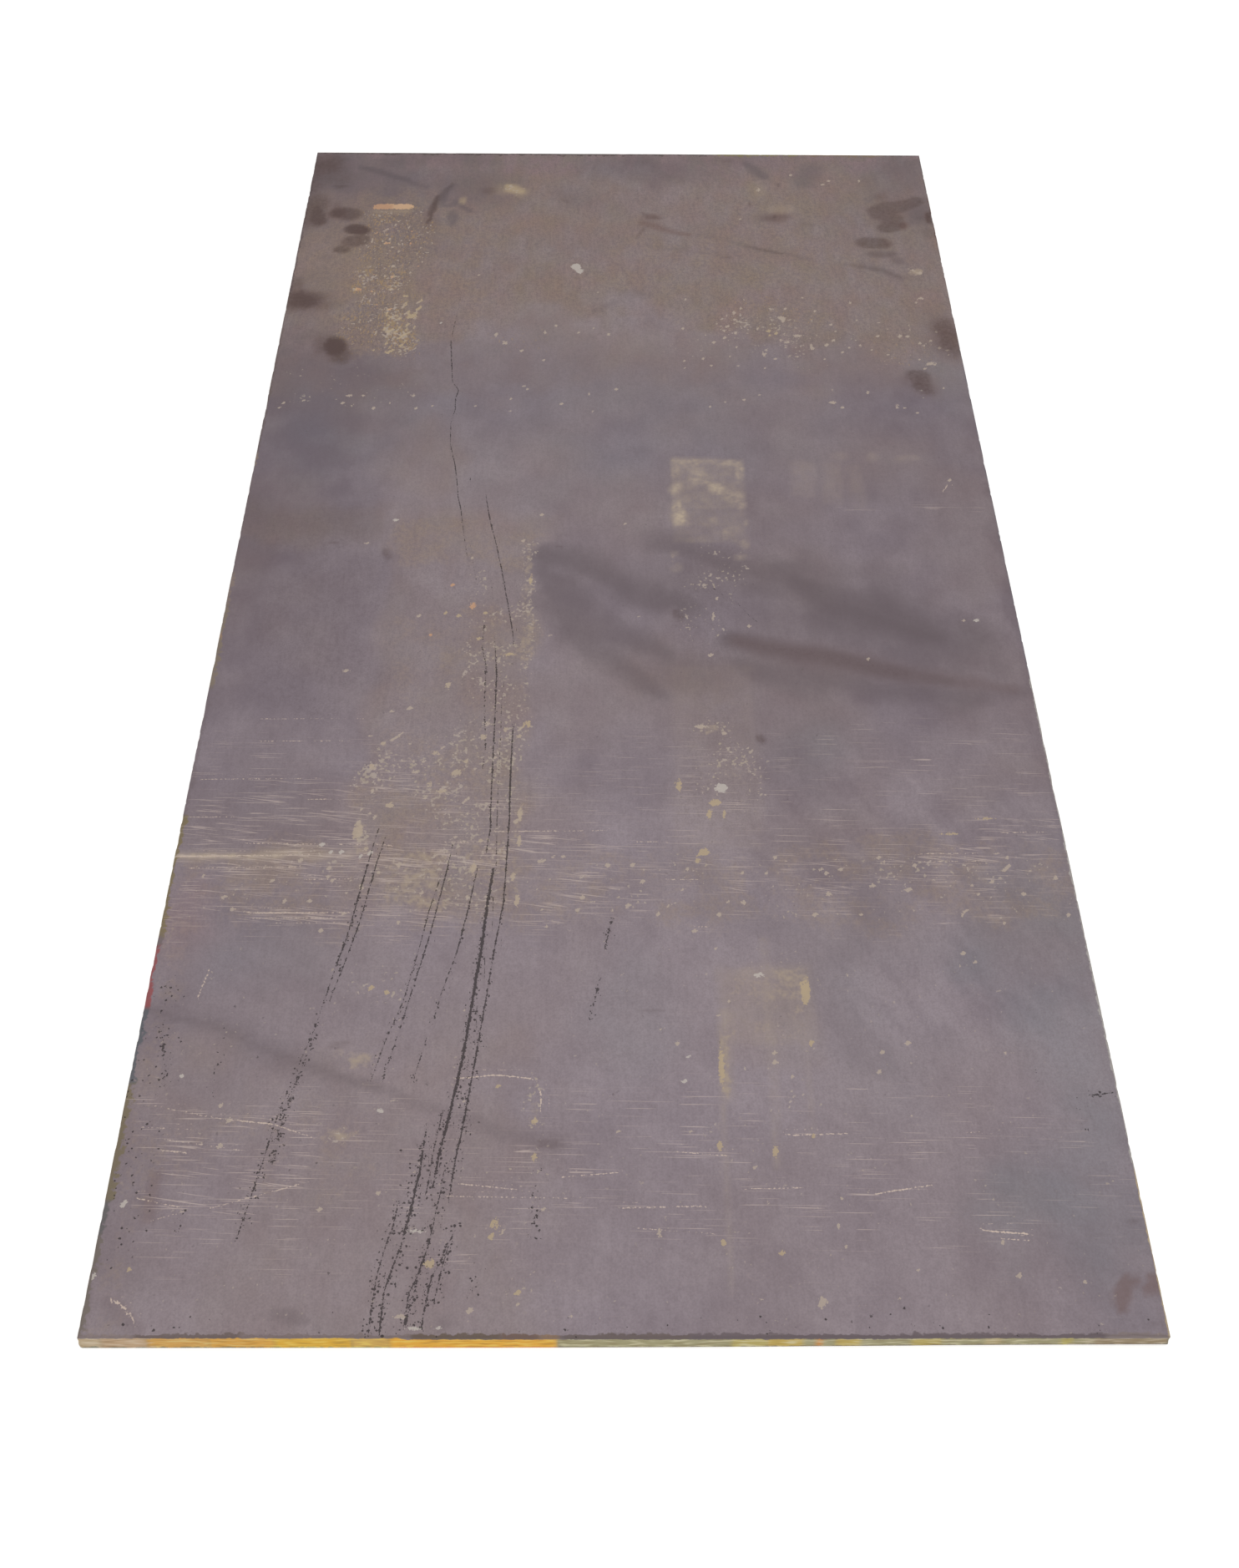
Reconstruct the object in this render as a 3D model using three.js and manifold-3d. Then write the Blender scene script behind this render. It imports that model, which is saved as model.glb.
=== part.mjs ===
// Hot-rolled mild steel plate, raw stock, cut to size by a guillotine shear on all four sides.
//
// The plate lies flat on its burr side, as sheared plates are stacked. Every edge carries the
// profile that a shear leaves, from the top face down: a rollover where the top face was dragged
// down, a narrow burnished land square to the faces, a broken face that leans out by the blade
// clearance, and a low burr at the foot. Two straight cuts meet at each corner, and handling has
// knocked its foot, which stands out furthest, a little blunt.
//
// Millimetres, +Z up. The origin is on the floor under the middle of the plate. Y runs along the
// rolling direction, which is the plate's length, and X across it.

import * as THREE from 'three';
import { mergeVertices } from 'three/addons/utils/BufferGeometryUtils.js';
import Module from 'manifold-3d';

const wasm = await Module();
wasm.setup();

// ---- Driving dimensions ---------------------------------------------------------------------

// Overall size, over the burrs.
const PLATE_WIDTH = 1000;
const PLATE_LENGTH = 2000;
const PLATE_THICKNESS = 20;

// The sheared edge, from the top face down.
const ROLLOVER_WIDTH = 3; // across the top face, from where it starts to bend to the land
const ROLLOVER_DEPTH = 2; // from the top face down to the land
const LAND_HEIGHT = 4.5; // burnished and square to the faces
const BLADE_CLEARANCE = 2; // how far the broken face leans out between the land and the burr
const BURR_HEIGHT = 0.8;

// How far handling has knocked each corner back, along its diagonal.
const CORNER_KNOCKS = { frontLeft: 1.5, frontRight: 1.2, backRight: 1.4, backLeft: 1.1 };

// How finely a curve is stepped, and how far a cutting solid runs past what it cuts.
const CURVE_STEPS = 8;
const OVERRUN = 10;

// ---- The sheared edge -----------------------------------------------------------------------

// The profile of one edge from its foot to the top face. x is the distance in from the burr, and
// y the height above the floor.
function shearedEdge() {
  const landTop = PLATE_THICKNESS - ROLLOVER_DEPTH;
  const landFoot = landTop - LAND_HEIGHT;
  const brokenHeight = landFoot - BURR_HEIGHT;

  const edge = new THREE.Path();
  edge.moveTo(0, 0);
  edge.lineTo(0, BURR_HEIGHT);
  // The crack starts steeply at both blades and lies over in the middle, a shallow S.
  edge.bezierCurveTo(
    0, BURR_HEIGHT + brokenHeight / 3,
    BLADE_CLEARANCE, landFoot - brokenHeight / 3,
    BLADE_CLEARANCE, landFoot,
  );
  edge.lineTo(BLADE_CLEARANCE, landTop);
  edge.absellipse(
    BLADE_CLEARANCE + ROLLOVER_WIDTH, landTop,
    ROLLOVER_WIDTH, ROLLOVER_DEPTH,
    Math.PI, Math.PI / 2, true,
  );
  return edge.getPoints(CURVE_STEPS);
}

// The section between two opposite sheared edges, span apart over their burrs.
function plateSection(span) {
  const edge = shearedEdge();
  const right = edge.map((point) => new THREE.Vector2(span / 2 - point.x, point.y));
  const left = edge.map((point) => new THREE.Vector2(point.x - span / 2, point.y)).reverse();
  return new THREE.Shape([...right, ...left]);
}

// ---- The outline in plan --------------------------------------------------------------------

// A rounded rectangle that clears the plate's sides by the overrun. Its corner arcs cross the
// plate's own corners, each one the knock inside, so that a corner is left blunt and barely curved.
function plateOutline() {
  const x = PLATE_WIDTH / 2 + OVERRUN;
  const y = PLATE_LENGTH / 2 + OVERRUN;
  const quarter = Math.PI / 2;
  const radii = Object.fromEntries(
    Object.entries(CORNER_KNOCKS).map(([corner, knock]) => [corner, arcRadius(knock)]),
  );
  const { frontLeft, frontRight, backRight, backLeft } = radii;

  const outline = new THREE.Shape();
  outline.absarc(x - frontRight, -y + frontRight, frontRight, -quarter, 0);
  outline.absarc(x - backRight, y - backRight, backRight, 0, quarter);
  outline.absarc(-x + backLeft, y - backLeft, backLeft, quarter, 2 * quarter);
  outline.absarc(-x + frontLeft, -y + frontLeft, frontLeft, 2 * quarter, 3 * quarter);
  outline.closePath();
  return outline;
}

// An arc in a square corner comes within (root 2 - 1) radii of it, and that corner lies root 2
// overruns outside the plate's.
function arcRadius(knock) {
  return (knock + Math.SQRT2 * OVERRUN) / (Math.SQRT2 - 1);
}

// ---- Solids ---------------------------------------------------------------------------------

// A shape pushed straight through by a depth, half to each side of its own plane.
function extruded(shape, depth) {
  const options = { depth, bevelEnabled: false, curveSegments: CURVE_STEPS };
  return new THREE.ExtrudeGeometry(shape, options).translate(0, 0, -depth / 2);
}

function toSolid(geometry) {
  geometry.deleteAttribute('normal');
  geometry.deleteAttribute('uv');
  const merged = mergeVertices(geometry, 1e-4);
  const mesh = new wasm.Mesh({
    numProp: 3,
    vertProperties: new Float32Array(merged.attributes.position.array),
    triVerts: new Uint32Array(merged.index.array),
  });
  return new wasm.Manifold(mesh);
}

function toGeometry(solid) {
  const { vertProperties, triVerts } = solid.getMesh();
  const geometry = new THREE.BufferGeometry();
  geometry.setAttribute('position', new THREE.BufferAttribute(vertProperties, 3));
  geometry.setIndex(new THREE.BufferAttribute(triVerts, 1));
  geometry.computeVertexNormals();
  return geometry;
}

// The plate is what two pairs of cuts and the knocked corners leave: the section across the width
// swept along the length, the section along the length swept across the width, and the outline.
function plateGeometry() {
  const betweenSideCuts = extruded(plateSection(PLATE_WIDTH), PLATE_LENGTH + 2 * OVERRUN)
    .rotateX(Math.PI / 2);
  const betweenEndCuts = extruded(plateSection(PLATE_LENGTH), PLATE_WIDTH + 2 * OVERRUN)
    .rotateX(Math.PI / 2)
    .rotateZ(Math.PI / 2);
  const insideOutline = extruded(plateOutline(), PLATE_THICKNESS + 2 * OVERRUN)
    .translate(0, 0, PLATE_THICKNESS / 2);

  const plate = toSolid(betweenSideCuts)
    .intersect(toSolid(betweenEndCuts))
    .intersect(toSolid(insideOutline));
  return toGeometry(plate);
}

// ---- The part -------------------------------------------------------------------------------

const millScale = new THREE.MeshStandardMaterial({
  color: '#857b7f',
  roughness: 0.62,
  metalness: 0.35,
});

const plate = new THREE.Mesh(plateGeometry(), millScale);
plate.name = 'plate';

const steelPlate = new THREE.Group();
steelPlate.add(plate);

export default steelPlate;
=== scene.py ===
"""A hot-rolled steel plate, 20 mm thick, lying flat on a pale studio floor. For Blender 4.5.

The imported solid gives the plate's size. This file gives its sheared edges, its mill scale and every
mark that storage and handling have left on it. Sizes are in millimetres unless a name says otherwise.
"""

import math

import bpy
import numpy as np
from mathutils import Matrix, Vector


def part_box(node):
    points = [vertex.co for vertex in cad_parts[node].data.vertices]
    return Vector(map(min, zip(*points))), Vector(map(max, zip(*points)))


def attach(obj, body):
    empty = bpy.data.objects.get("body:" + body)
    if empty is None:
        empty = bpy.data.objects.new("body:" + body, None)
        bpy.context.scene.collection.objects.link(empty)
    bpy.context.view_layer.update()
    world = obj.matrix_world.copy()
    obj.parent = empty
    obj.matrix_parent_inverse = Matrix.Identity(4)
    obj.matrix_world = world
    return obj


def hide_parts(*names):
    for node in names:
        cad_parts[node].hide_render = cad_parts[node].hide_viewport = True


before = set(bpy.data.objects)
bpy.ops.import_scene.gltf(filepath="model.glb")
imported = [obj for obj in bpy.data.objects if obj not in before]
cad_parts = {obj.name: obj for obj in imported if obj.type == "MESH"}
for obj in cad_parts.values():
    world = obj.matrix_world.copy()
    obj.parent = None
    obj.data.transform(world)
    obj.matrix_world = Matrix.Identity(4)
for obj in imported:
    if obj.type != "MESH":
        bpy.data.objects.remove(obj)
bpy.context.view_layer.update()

# ---- The plate's shape ----------------------------------------------------------------------------
# One piece of hot-rolled mild steel, cut on all four sides by a guillotine shear. From the top face
# down, the shear leaves a rollover, a burnished land, a broken face that leans out, and a burr. The
# corners' feet are knocked blunt, and the top border is nicked where plates were slid over each other.

_, plate_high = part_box("plate")
MM = 0.001
HALF_WIDTH = plate_high.x / MM
HALF_LENGTH = plate_high.y / MM
THICKNESS = plate_high.z / MM

CLEARANCE = 2.0  # how far the broken face leans out
ROLLOVER_WIDTH = 3.0
ROLLOVER_DEPTH = 2.0
LAND_HEIGHT = 4.5
BURR_HEIGHT = 0.8
BORDER = CLEARANCE + ROLLOVER_WIDTH  # from the outer side to where the flat top starts
CORNER_KNOCK = 1.3  # cut off each corner, measured along its diagonal
LEAST_INSET = 0.02  # by which every point stays inside the solid
LAND_FOOT = THICKNESS - ROLLOVER_DEPTH - LAND_HEIGHT
WAVE_ROOM = 0.12  # how far the top lies under the solid's, which leaves room for its waves
BORDER_SINK = 0.18  # and how much further its border does
SINK_WIDTH = 26.0  # from the outer side to where the top starts to sink

COLUMNS, ROWS = 180, 360  # cells of the top face, 5.5 mm each way
SPLIT = 2  # edge columns to each cell of the top face


def smooth(value, low, high):
    """Rises from 0 at low to 1 at high as 3t^2 - 2t^3, and is level outside them."""
    t = np.clip((value - low) / (high - low), 0, 1)
    return t * t * (3 - 2 * t)


def wander(along, pitch, seed):
    """Random heights from -1 to 1, one every pitch along a line, joined by smooth steps."""
    heights = np.random.default_rng(seed).uniform(-1, 1, int(along.max() / pitch) + 3)
    knot = np.floor(along / pitch).astype(int)
    share = smooth(along / pitch - knot, 0, 1)
    return heights[knot] * (1 - share) + heights[knot + 1] * share


def edge_profile():
    """Inset from the outer side and height, from the flat top's border down to the foot: a quarter
    ellipse for the rollover, an upright land, an S curve for the broken face, and the burr."""
    turn = np.radians([18, 36, 54, 72, 90])
    rollover = np.stack([
        BORDER - ROLLOVER_WIDTH * np.sin(turn),
        THICKNESS - ROLLOVER_DEPTH * (1 - np.cos(turn)),
    ])
    fall = np.array([0.0, 0.22, 0.45, 0.7, 1.0])
    broken = np.stack([
        CLEARANCE * (1 - smooth(fall, 0, 1)),
        LAND_FOOT + (BURR_HEIGHT - LAND_FOOT) * fall,
    ])
    land_middle = np.array([[CLEARANCE], [LAND_FOOT + LAND_HEIGHT / 2]])
    foot = np.array([[0.0], [0.0]])
    return np.hstack([rollover, land_middle, broken, foot])


def top_face():
    """The flat top as a grid of COLUMNS by ROWS cells that ends where the rollover starts. It sinks
    a little to its border, and waves by a tenth of a millimetre as rolled plate does."""
    across = np.linspace(-1, 1, COLUMNS + 1) * (HALF_WIDTH - BORDER)
    along = np.linspace(-1, 1, ROWS + 1) * (HALF_LENGTH - BORDER)
    x, y = np.meshgrid(across, along)
    inset = np.minimum(HALF_WIDTH - abs(x), HALF_LENGTH - abs(y))
    waves = 0.06 * np.sin(x / 90 + np.sin(y / 210)) + 0.05 * np.sin(y / 160 + x / 300)
    z = THICKNESS - WAVE_ROOM + waves - BORDER_SINK * (1 - smooth(inset, BORDER, SINK_WIDTH))
    return np.stack([x, y, z], -1).reshape(-1, 3)


def edge_rings(border_ring):
    """The rings of the edge from the rollover to the foot. Each is the top's border scaled out to
    the profile's inset, then pushed in where the border is nicked, chipped or torn, the back one
    least. The front cut is not quite square: towards its right end it leans out less, and runs a
    millimetre inside."""
    inset, height = edge_profile()
    across = border_ring[:, 0] / (HALF_WIDTH - BORDER)
    along = border_ring[:, 1] / (HALF_LENGTH - BORDER)
    steeper = smooth(across, -0.4, 1.1)
    skew = smooth(across, 0, 1)
    at_front = along < 0
    at_back = border_ring[:, 1] > HALF_LENGTH - BORDER - 1
    step = np.linalg.norm(np.roll(border_ring, -1, 0)[:, :2] - border_ring[:, :2], axis=1)
    run = np.concatenate([[0], np.cumsum(step)[:-1]])

    chips = np.clip(wander(run, 7, 1) - 0.45, 0, 1) * 1.5
    dents = np.clip(wander(run, 31, 2) - 0.6, 0, 1) * 2
    nick = (chips + dents) * (1 - 0.7 * at_back)
    tear = wander(run, 5, 3) * 0.22 + wander(run, 16, 4) * 0.18
    unsteady = 0.12 * wander(run, 60, 6)
    uneven_burr = 0.35 * wander(run, 11, 8)

    rings = []
    for level, (reach, z) in enumerate(zip(inset, height)):
        nicked = nick * math.exp(-((THICKNESS - z) / 3.2) ** 2)
        torn = tear * smooth(z, 0.2, 3) * (1 - smooth(z, 12, 14.5))
        torn *= 1 + 0.6 * wander(run, 9, 20 + level)
        into = np.maximum(reach + nicked + torn + unsteady, LEAST_INSET)
        cut_in = steeper * (CLEARANCE - min(reach, CLEARANCE))
        cut_in += skew * (BORDER - max(reach, CLEARANCE)) / ROLLOVER_WIDTH
        x = across * (HALF_WIDTH - into)
        y = along * (HALF_LENGTH - into - cut_in * at_front)
        past = (abs(x) + abs(y) - HALF_WIDTH - HALF_LENGTH) / math.sqrt(2) + CORNER_KNOCK
        push = np.maximum(past, 0) / math.sqrt(2)
        lift = 0.35 * nicked * (z < THICKNESS - 0.01)
        burr = uneven_burr * (abs(z - BURR_HEIGHT) < 0.01)
        sunk = (THICKNESS - border_ring[:, 2]) * smooth(z, 13, THICKNESS)
        rings.append(np.stack([
            x - np.sign(x) * push,
            y - np.sign(y) * push,
            np.maximum(z - sunk - lift + burr, 0),
        ], -1))
    return rings


def loop_round(columns, rows):
    """Indices of the border points of a grid, counter-clockwise from its front left corner."""
    grid = np.arange((columns + 1) * (rows + 1)).reshape(rows + 1, columns + 1)
    return np.concatenate([grid[0, :-1], grid[:-1, -1], grid[-1, :0:-1], grid[:0:-1, 0]])


def plate_mesh():
    """Joins the top grid, the edge rings and the underside into one closed surface."""
    top = top_face()
    border = loop_round(COLUMNS, ROWS)
    corners = top[border]
    ring = np.stack([corners * (1 - s / SPLIT) + np.roll(corners, -1, 0) * s / SPLIT
                     for s in range(SPLIT)], 1).reshape(-1, 3)
    rings = edge_rings(ring)
    points = np.vstack([top, *rings])

    grid = np.arange(len(top)).reshape(ROWS + 1, COLUMNS + 1)
    quads = np.stack([grid[:-1, :-1], grid[:-1, 1:], grid[1:, 1:], grid[1:, :-1]], -1).reshape(-1, 4)
    around = len(ring)
    first = len(top) + np.arange(around)
    bridge = np.stack([border, *(np.roll(first, -s)[::SPLIT] for s in range(SPLIT + 1)),
                       np.roll(border, -1)], -1)
    upper = first + around * np.arange(len(rings) - 1)[:, None]
    lower = upper + around
    walls = np.stack([upper, lower, np.roll(lower, -1, 1), np.roll(upper, -1, 1)], -1).reshape(-1, 4)

    foot = first + around * (len(rings) - 1)
    wide, long = COLUMNS * SPLIT, ROWS * SPLIT
    right = foot[wide:wide + long + 1]
    left = np.concatenate([foot[:1], foot[:wide + wide + long - 1:-1]])
    strips = np.stack([left[:-1], left[1:], right[1:], right[:-1]], -1)[1:-1]
    front_strip = [left[1], right[1], *foot[wide::-1]]
    back_strip = [left[-2], *foot[wide + long:2 * wide + long + 1][::-1], right[-2]]

    faces = [f for part in (quads, bridge, walls, strips) for f in part.tolist()]
    faces += [[int(i) for i in front_strip], [int(i) for i in back_strip]]
    mesh = bpy.data.meshes.new("hot_rolled_plate")
    mesh.from_pydata((points * MM).tolist(), [], faces)
    mesh.update()
    mesh.shade_smooth()
    mesh.set_sharp_from_angle(angle=math.radians(38))
    return mesh, points


mesh, points = plate_mesh()
plate = bpy.data.objects.new("hot_rolled_plate", mesh)
bpy.context.scene.collection.objects.link(plate)
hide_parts("plate")
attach(plate, "root")

# ---- Films and stains on the top face -------------------------------------------------------------
# Dust and rust that water has dried on, oil that dripped from the lifting gear, smears where wet hands,
# slings and other plates have rubbed, and the scale's own tone. The tone and some broad smears are
# partly painted shade. Each film is a strength from 0 to 1 at every point.

X, Y, Z = points.T
TOP_ONLY = smooth(Z, THICKNESS - 2.0, THICKNESS - 0.9)
PAST_CORNER = 1200  # more than the plate's half diagonal, so that no cell of a pattern is below 0


def clouds(pitch, seed, octaves=3, long=1.0, turn=0):
    """Random heights from 0 to 1 at the corners of cells pitch millimetres wide and long times as
    long, turned, and joined by smooth steps. Each further octave halves both cell and height."""
    draw = np.random.default_rng(seed)
    a = math.radians(turn)
    across = (X * math.cos(a) + Y * math.sin(a) + PAST_CORNER) / pitch
    along = (Y * math.cos(a) - X * math.sin(a) + PAST_CORNER) / (pitch * long)
    total = np.zeros(len(X))
    for octave in range(octaves):
        u, v = across * 2**octave, along * 2**octave
        i, j = np.floor(u).astype(int), np.floor(v).astype(int)
        heights = draw.random((i.max() + 2, j.max() + 2))
        s, t = smooth(u - i, 0, 1), smooth(v - j, 0, 1)
        near = heights[i, j] * (1 - s) + heights[i + 1, j] * s
        far = heights[i, j + 1] * (1 - s) + heights[i + 1, j + 1] * s
        total += (near * (1 - t) + far * t) / 2**octave
    return smooth(total / (2 - 0.5**(octaves - 1)), 0.15, 0.85)


# By which the border of a film wanders, as a share of how ragged it is.
DRIFT_X = clouds(64, 101, 4) - 0.5
DRIFT_Y = clouds(64, 102, 4) - 0.5


def oval(x, y, half_wide, half_long, turn=0, soft=0.5, ragged=None):
    """1 inside a turned ellipse, falling to 0 across its outer share and as far again outside. Its
    border wanders by up to half of ragged millimetres."""
    ragged = min(half_wide, half_long) * 0.8 if ragged is None else ragged
    a = math.radians(turn)
    px, py = X + ragged * DRIFT_X - x, Y + ragged * DRIFT_Y - y
    u = (px * math.cos(a) + py * math.sin(a)) / half_wide
    v = (py * math.cos(a) - px * math.sin(a)) / half_long
    return 1 - smooth(np.hypot(u, v), 1 - soft, 1 + soft)


def panel(x0, x1, y0, y1, soft, ragged=None):
    """1 inside a rectangle, falling to 0 across a border of soft millimetres each way."""
    ragged = soft * 2 if ragged is None else ragged
    px, py = X + ragged * DRIFT_X, Y + ragged * DRIFT_Y
    inside = smooth(px, x0 - soft, x0 + soft) * (1 - smooth(px, x1 - soft, x1 + soft))
    return inside * smooth(py, y0 - soft, y0 + soft) * (1 - smooth(py, y1 - soft, y1 + soft))


def stroke(line, half_wide, soft=0.7, ragged=None):
    """1 along a line of points, falling to 0 at its half width, which is one number for the whole
    line or one for each point. A place is measured to the nearest segment."""
    widths = np.broadcast_to(half_wide, len(line)).astype(float)
    ragged = widths.max() * 0.9 if ragged is None else ragged
    px, py = X + ragged * DRIFT_X, Y + ragged * DRIFT_Y
    near = np.full(len(X), np.inf)
    for (x0, y0), (x1, y1), w0, w1 in zip(line, line[1:], widths, widths[1:]):
        run = math.hypot(x1 - x0, y1 - y0)
        t = np.clip(((px - x0) * (x1 - x0) + (py - y0) * (y1 - y0)) / run**2, 0, 1)
        away = np.hypot(px - x0 - t * (x1 - x0), py - y0 - t * (y1 - y0))
        near = np.minimum(near, away / (w0 + (w1 - w0) * t))
    return 1 - smooth(near, 1 - soft, 1 + soft)


def each(shape, rows, **same):
    """Films of one shape, one for each row: the strength at its head times the shape that the rest
    of the row gives."""
    return [strength * shape(*rest, **same) for strength, *rest in rows]


def heaped(*films):
    """The strongest of several films at each point."""
    return np.maximum.reduce(films)


mottle = clouds(34, 1)
flow = clouds(14, 14, 3, long=2.2)  # blotches drawn out along the rolling direction
wiped = clouds(11, 2, 2, long=9, turn=63)  # streaks along the sweep of an arm
combed = clouds(6, 51, 2, long=10, turn=31)  # faint lines where the near right was swept
dust_line = 470 + 90 * panel(-250, 170, -2000, 2000, 60)  # where the dust of the back half ends
back_half = smooth(Y + 80 * DRIFT_Y - dust_line, -60, 60)
middle = smooth(Y + 80 * DRIFT_Y, -420, -170) * (1 - back_half)
front = 1 - smooth(Y, -620, -400)

# How dark the scale is from place to place. Its blotches are its own tone, as it was rolled and cooled
# unevenly. Its paler near end and its darker middle, back and left side are partly that tone and partly
# painted shade, where less light fell.
shade = (
    0.10 + 0.34 * middle + 0.14 * back_half + (0.18 - 0.11 * front) * (clouds(170, 3) - 0.5)
    + (0.18 - 0.09 * front) * (mottle - 0.5) + (0.12 + 0.30 * back_half) * (flow - 0.5)
    + 0.12 * front * (wiped - 0.5)
    + 0.34 * middle * (1 - smooth(X + 60 * DRIFT_X, -400, -300)) * (0.6 + 0.4 * smooth(Y, -160, 40))
    + 0.12 * middle * smooth(X, 250, 430) + 0.36 * smooth(Y + 40 * DRIFT_Y, 880, 975)
    + 0.16 * (1 - smooth(Y, -880, -700)) + 0.14 * (1 - smooth(Y, -360, -240)) * smooth(Y, -420, -330)
    + 0.16 * (1 - smooth(X, -480, -400)) * (1 - smooth(Y, -420, -340)) + 0.16 * smooth(Y, 940, 985)
    + 0.26 * panel(150, 470, -700, -330, 40) * (combed - 0.5)
    + sum(each(oval, [
        (0.95, -505, 930, 115, 160), (0.28, -340, 960, 160, 100), (0.24, -430, -625, 110, 85),
        (0.30, 485, 880, 60, 130), (0.25, -400, 400, 130, 110),
    ], soft=0.7))
    + sum(each(oval, [
        (0.20, -445, 470, 75, 90), (0.20, -360, 230, 50, 60), (0.30, -440, 930, 90, 80),
        (0.40, -480, 830, 60, 60), (0.18, -385, -410, 60, 50), (0.16, 465, -600, 60, 110),
        (0.14, 250, -300, 50, 40), (0.20, -485, 40, 30, 60), (0.50, -490, 385, 50, 60),
        (-0.16, -460, -560, 90, 70), (-0.14, -300, -940, 200, 90), (-0.14, -440, -985, 90, 40),
        (0.24, 460, 830, 60, 50), (0.20, -200, 900, 40, 60), (-0.16, 40, 670, 130, 60),
        (-0.16, 470, -600, 70, 110), (0.24, 240, -400, 50, 130, 20), (0.36, -290, 850, 50, 60),
        (0.30, -440, 910, 50, 50), (0.30, -225, 875, 60, 55), (0.30, 200, -460, 60, 40),
        (0.15, 430, 300, 120, 90), (0.22, -375, -530, 70, 40), (0.22, 330, -230, 110, 50, -12),
        (0.20, 450, -900, 90, 90), (0.18, -470, 550, 60, 90), (-0.25, 452, -105, 26, 36),
        (-0.22, -275, -712, 34, 18, -20), (-0.20, -150, 70, 34, 40), (0.30, 478, 828, 24, 36),
        (-0.24, 115, 862, 60, 60), (0.24, -445, 930, 60, 80), (0.20, -95, 455, 60, 50),
        (0.22, -482, 375, 26, 40), (0.20, -462, 75, 40, 50), (-0.28, 170, 600, 60, 40),
        (0.14, 190, -150, 60, 26, -15), (-0.16, 405, 825, 22, 30), (-0.30, 440, 745, 26, 36),
        (-0.34, 440, 978, 34, 24), (-0.16, -150, 900, 34, 40), (-0.12, 215, 0, 50, 26),
        (-0.12, 50, 75, 34, 34), (-0.14, -250, -450, 40, 30), (-0.12, -200, -750, 50, 50),
        (0.15, -375, 525, 60, 40), (0.15, -400, -750, 40, 40), (0.12, -420, -600, 40, 34),
        (-0.14, -105, -215, 50, 110), (-0.16, -55, -150, 34, 34), (-0.16, 445, -450, 34, 34),
        (0.14, -350, -450, 30, 26), (-0.16, -440, -525, 26, 30), (0.16, 50, -72, 26, 26),
    ], soft=0.8))
    + sum(each(panel, [
        (-0.26, -285, -118, -460, 220, 30), (0.22, 484, 510, -500, 190, 5, 30),
        (-0.14, 30, 170, -545, -430, 30), (-0.20, -260, 180, 490, 640, 50),
        (-0.24, 95, 200, -760, -590, 20), (-0.16, 60, 140, -440, -330, 20),
        (0.26, 350, 500, -640, -360, 40), (0.20, -500, -330, -480, -340, 30),
        (0.18, -480, -300, -560, -500, 20),
    ]))
)
# Olive-brown dust, dried on the back half and in the tracks of two straps.
dust = heaped(
    0.66 * back_half * (1 - 0.7 * panel(-600, -330, 860, 1200, 40)) * (1 - 0.35 * smooth(Y, 900, 960)),
    0.22 * oval(-265, 215, 50, 80), 0.22 * oval(75, -165, 80, 45, 0, 0.8),
    *each(panel, [
        (0.22, -600, 600, 400, 1200, 60), (0.22, -305, -112, -530, 100, 14),
        (0.32, -290, -112, 0, 110, 14), (0.32, -262, -190, -528, -440, 10),
        (0.32, -200, -112, -330, -60, 14), (0.86, -460, -330, 570, 800, 40),
        (0.20, -600, -100, -1050, -700, 40), (0.14, 95, 198, -720, -600, 10),
        (0.25, -495, -105, 52, 125, 22),
    ]),
) * (0.84 + 0.28 * clouds(90, 4) + 0.44 * (flow - 0.5)) + (0.24 - 0.12 * front) * clouds(110, 5)
dust *= 1 - heaped(
    0.50 * panel(-600, -350, -1050, -780, 40),
    *each(oval, [
        (0.32, 25, 865, 90, 90), (0.32, -275, 905, 60, 40), (0.40, -450, 485, 100, 70),
        (0.34, 460, 480, 60, 70), (0.34, -60, 740, 80, 40),
    ], soft=0.8),
)
# Tan rust bloom, warm and pale.
bloom = heaped(
    0.34 * oval(230, 680, 260, 190, 0, 0.7),
    *each(panel, [
        (0.45, -410, -190, 560, 860, 40), (0.75, -405, -295, 455, 830, 22),
        (0.50, -290, -110, 0, 100, 22), (0.55, -495, -300, -497, -440, 14),
        (0.42, -300, -110, -530, -60, 20), (0.40, -262, -190, -528, -440, 10),
        (0.40, -80, 230, 600, 760, 40), (0.42, 200, 480, -490, -420, 16),
        (0.40, -600, 600, -560, -430, 24), (0.30, -480, -200, -860, -740, 30),
        (0.34, -500, -455, -1000, -560, 14), (0.80, -495, -345, 610, 780, 40),
        (0.56, -425, -332, 796, 872, 14),
    ]),
) * (0.5 + 0.9 * clouds(26, 6)) * (1 - 0.4 * panel(-300, -110, -270, -170, 24))
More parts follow.
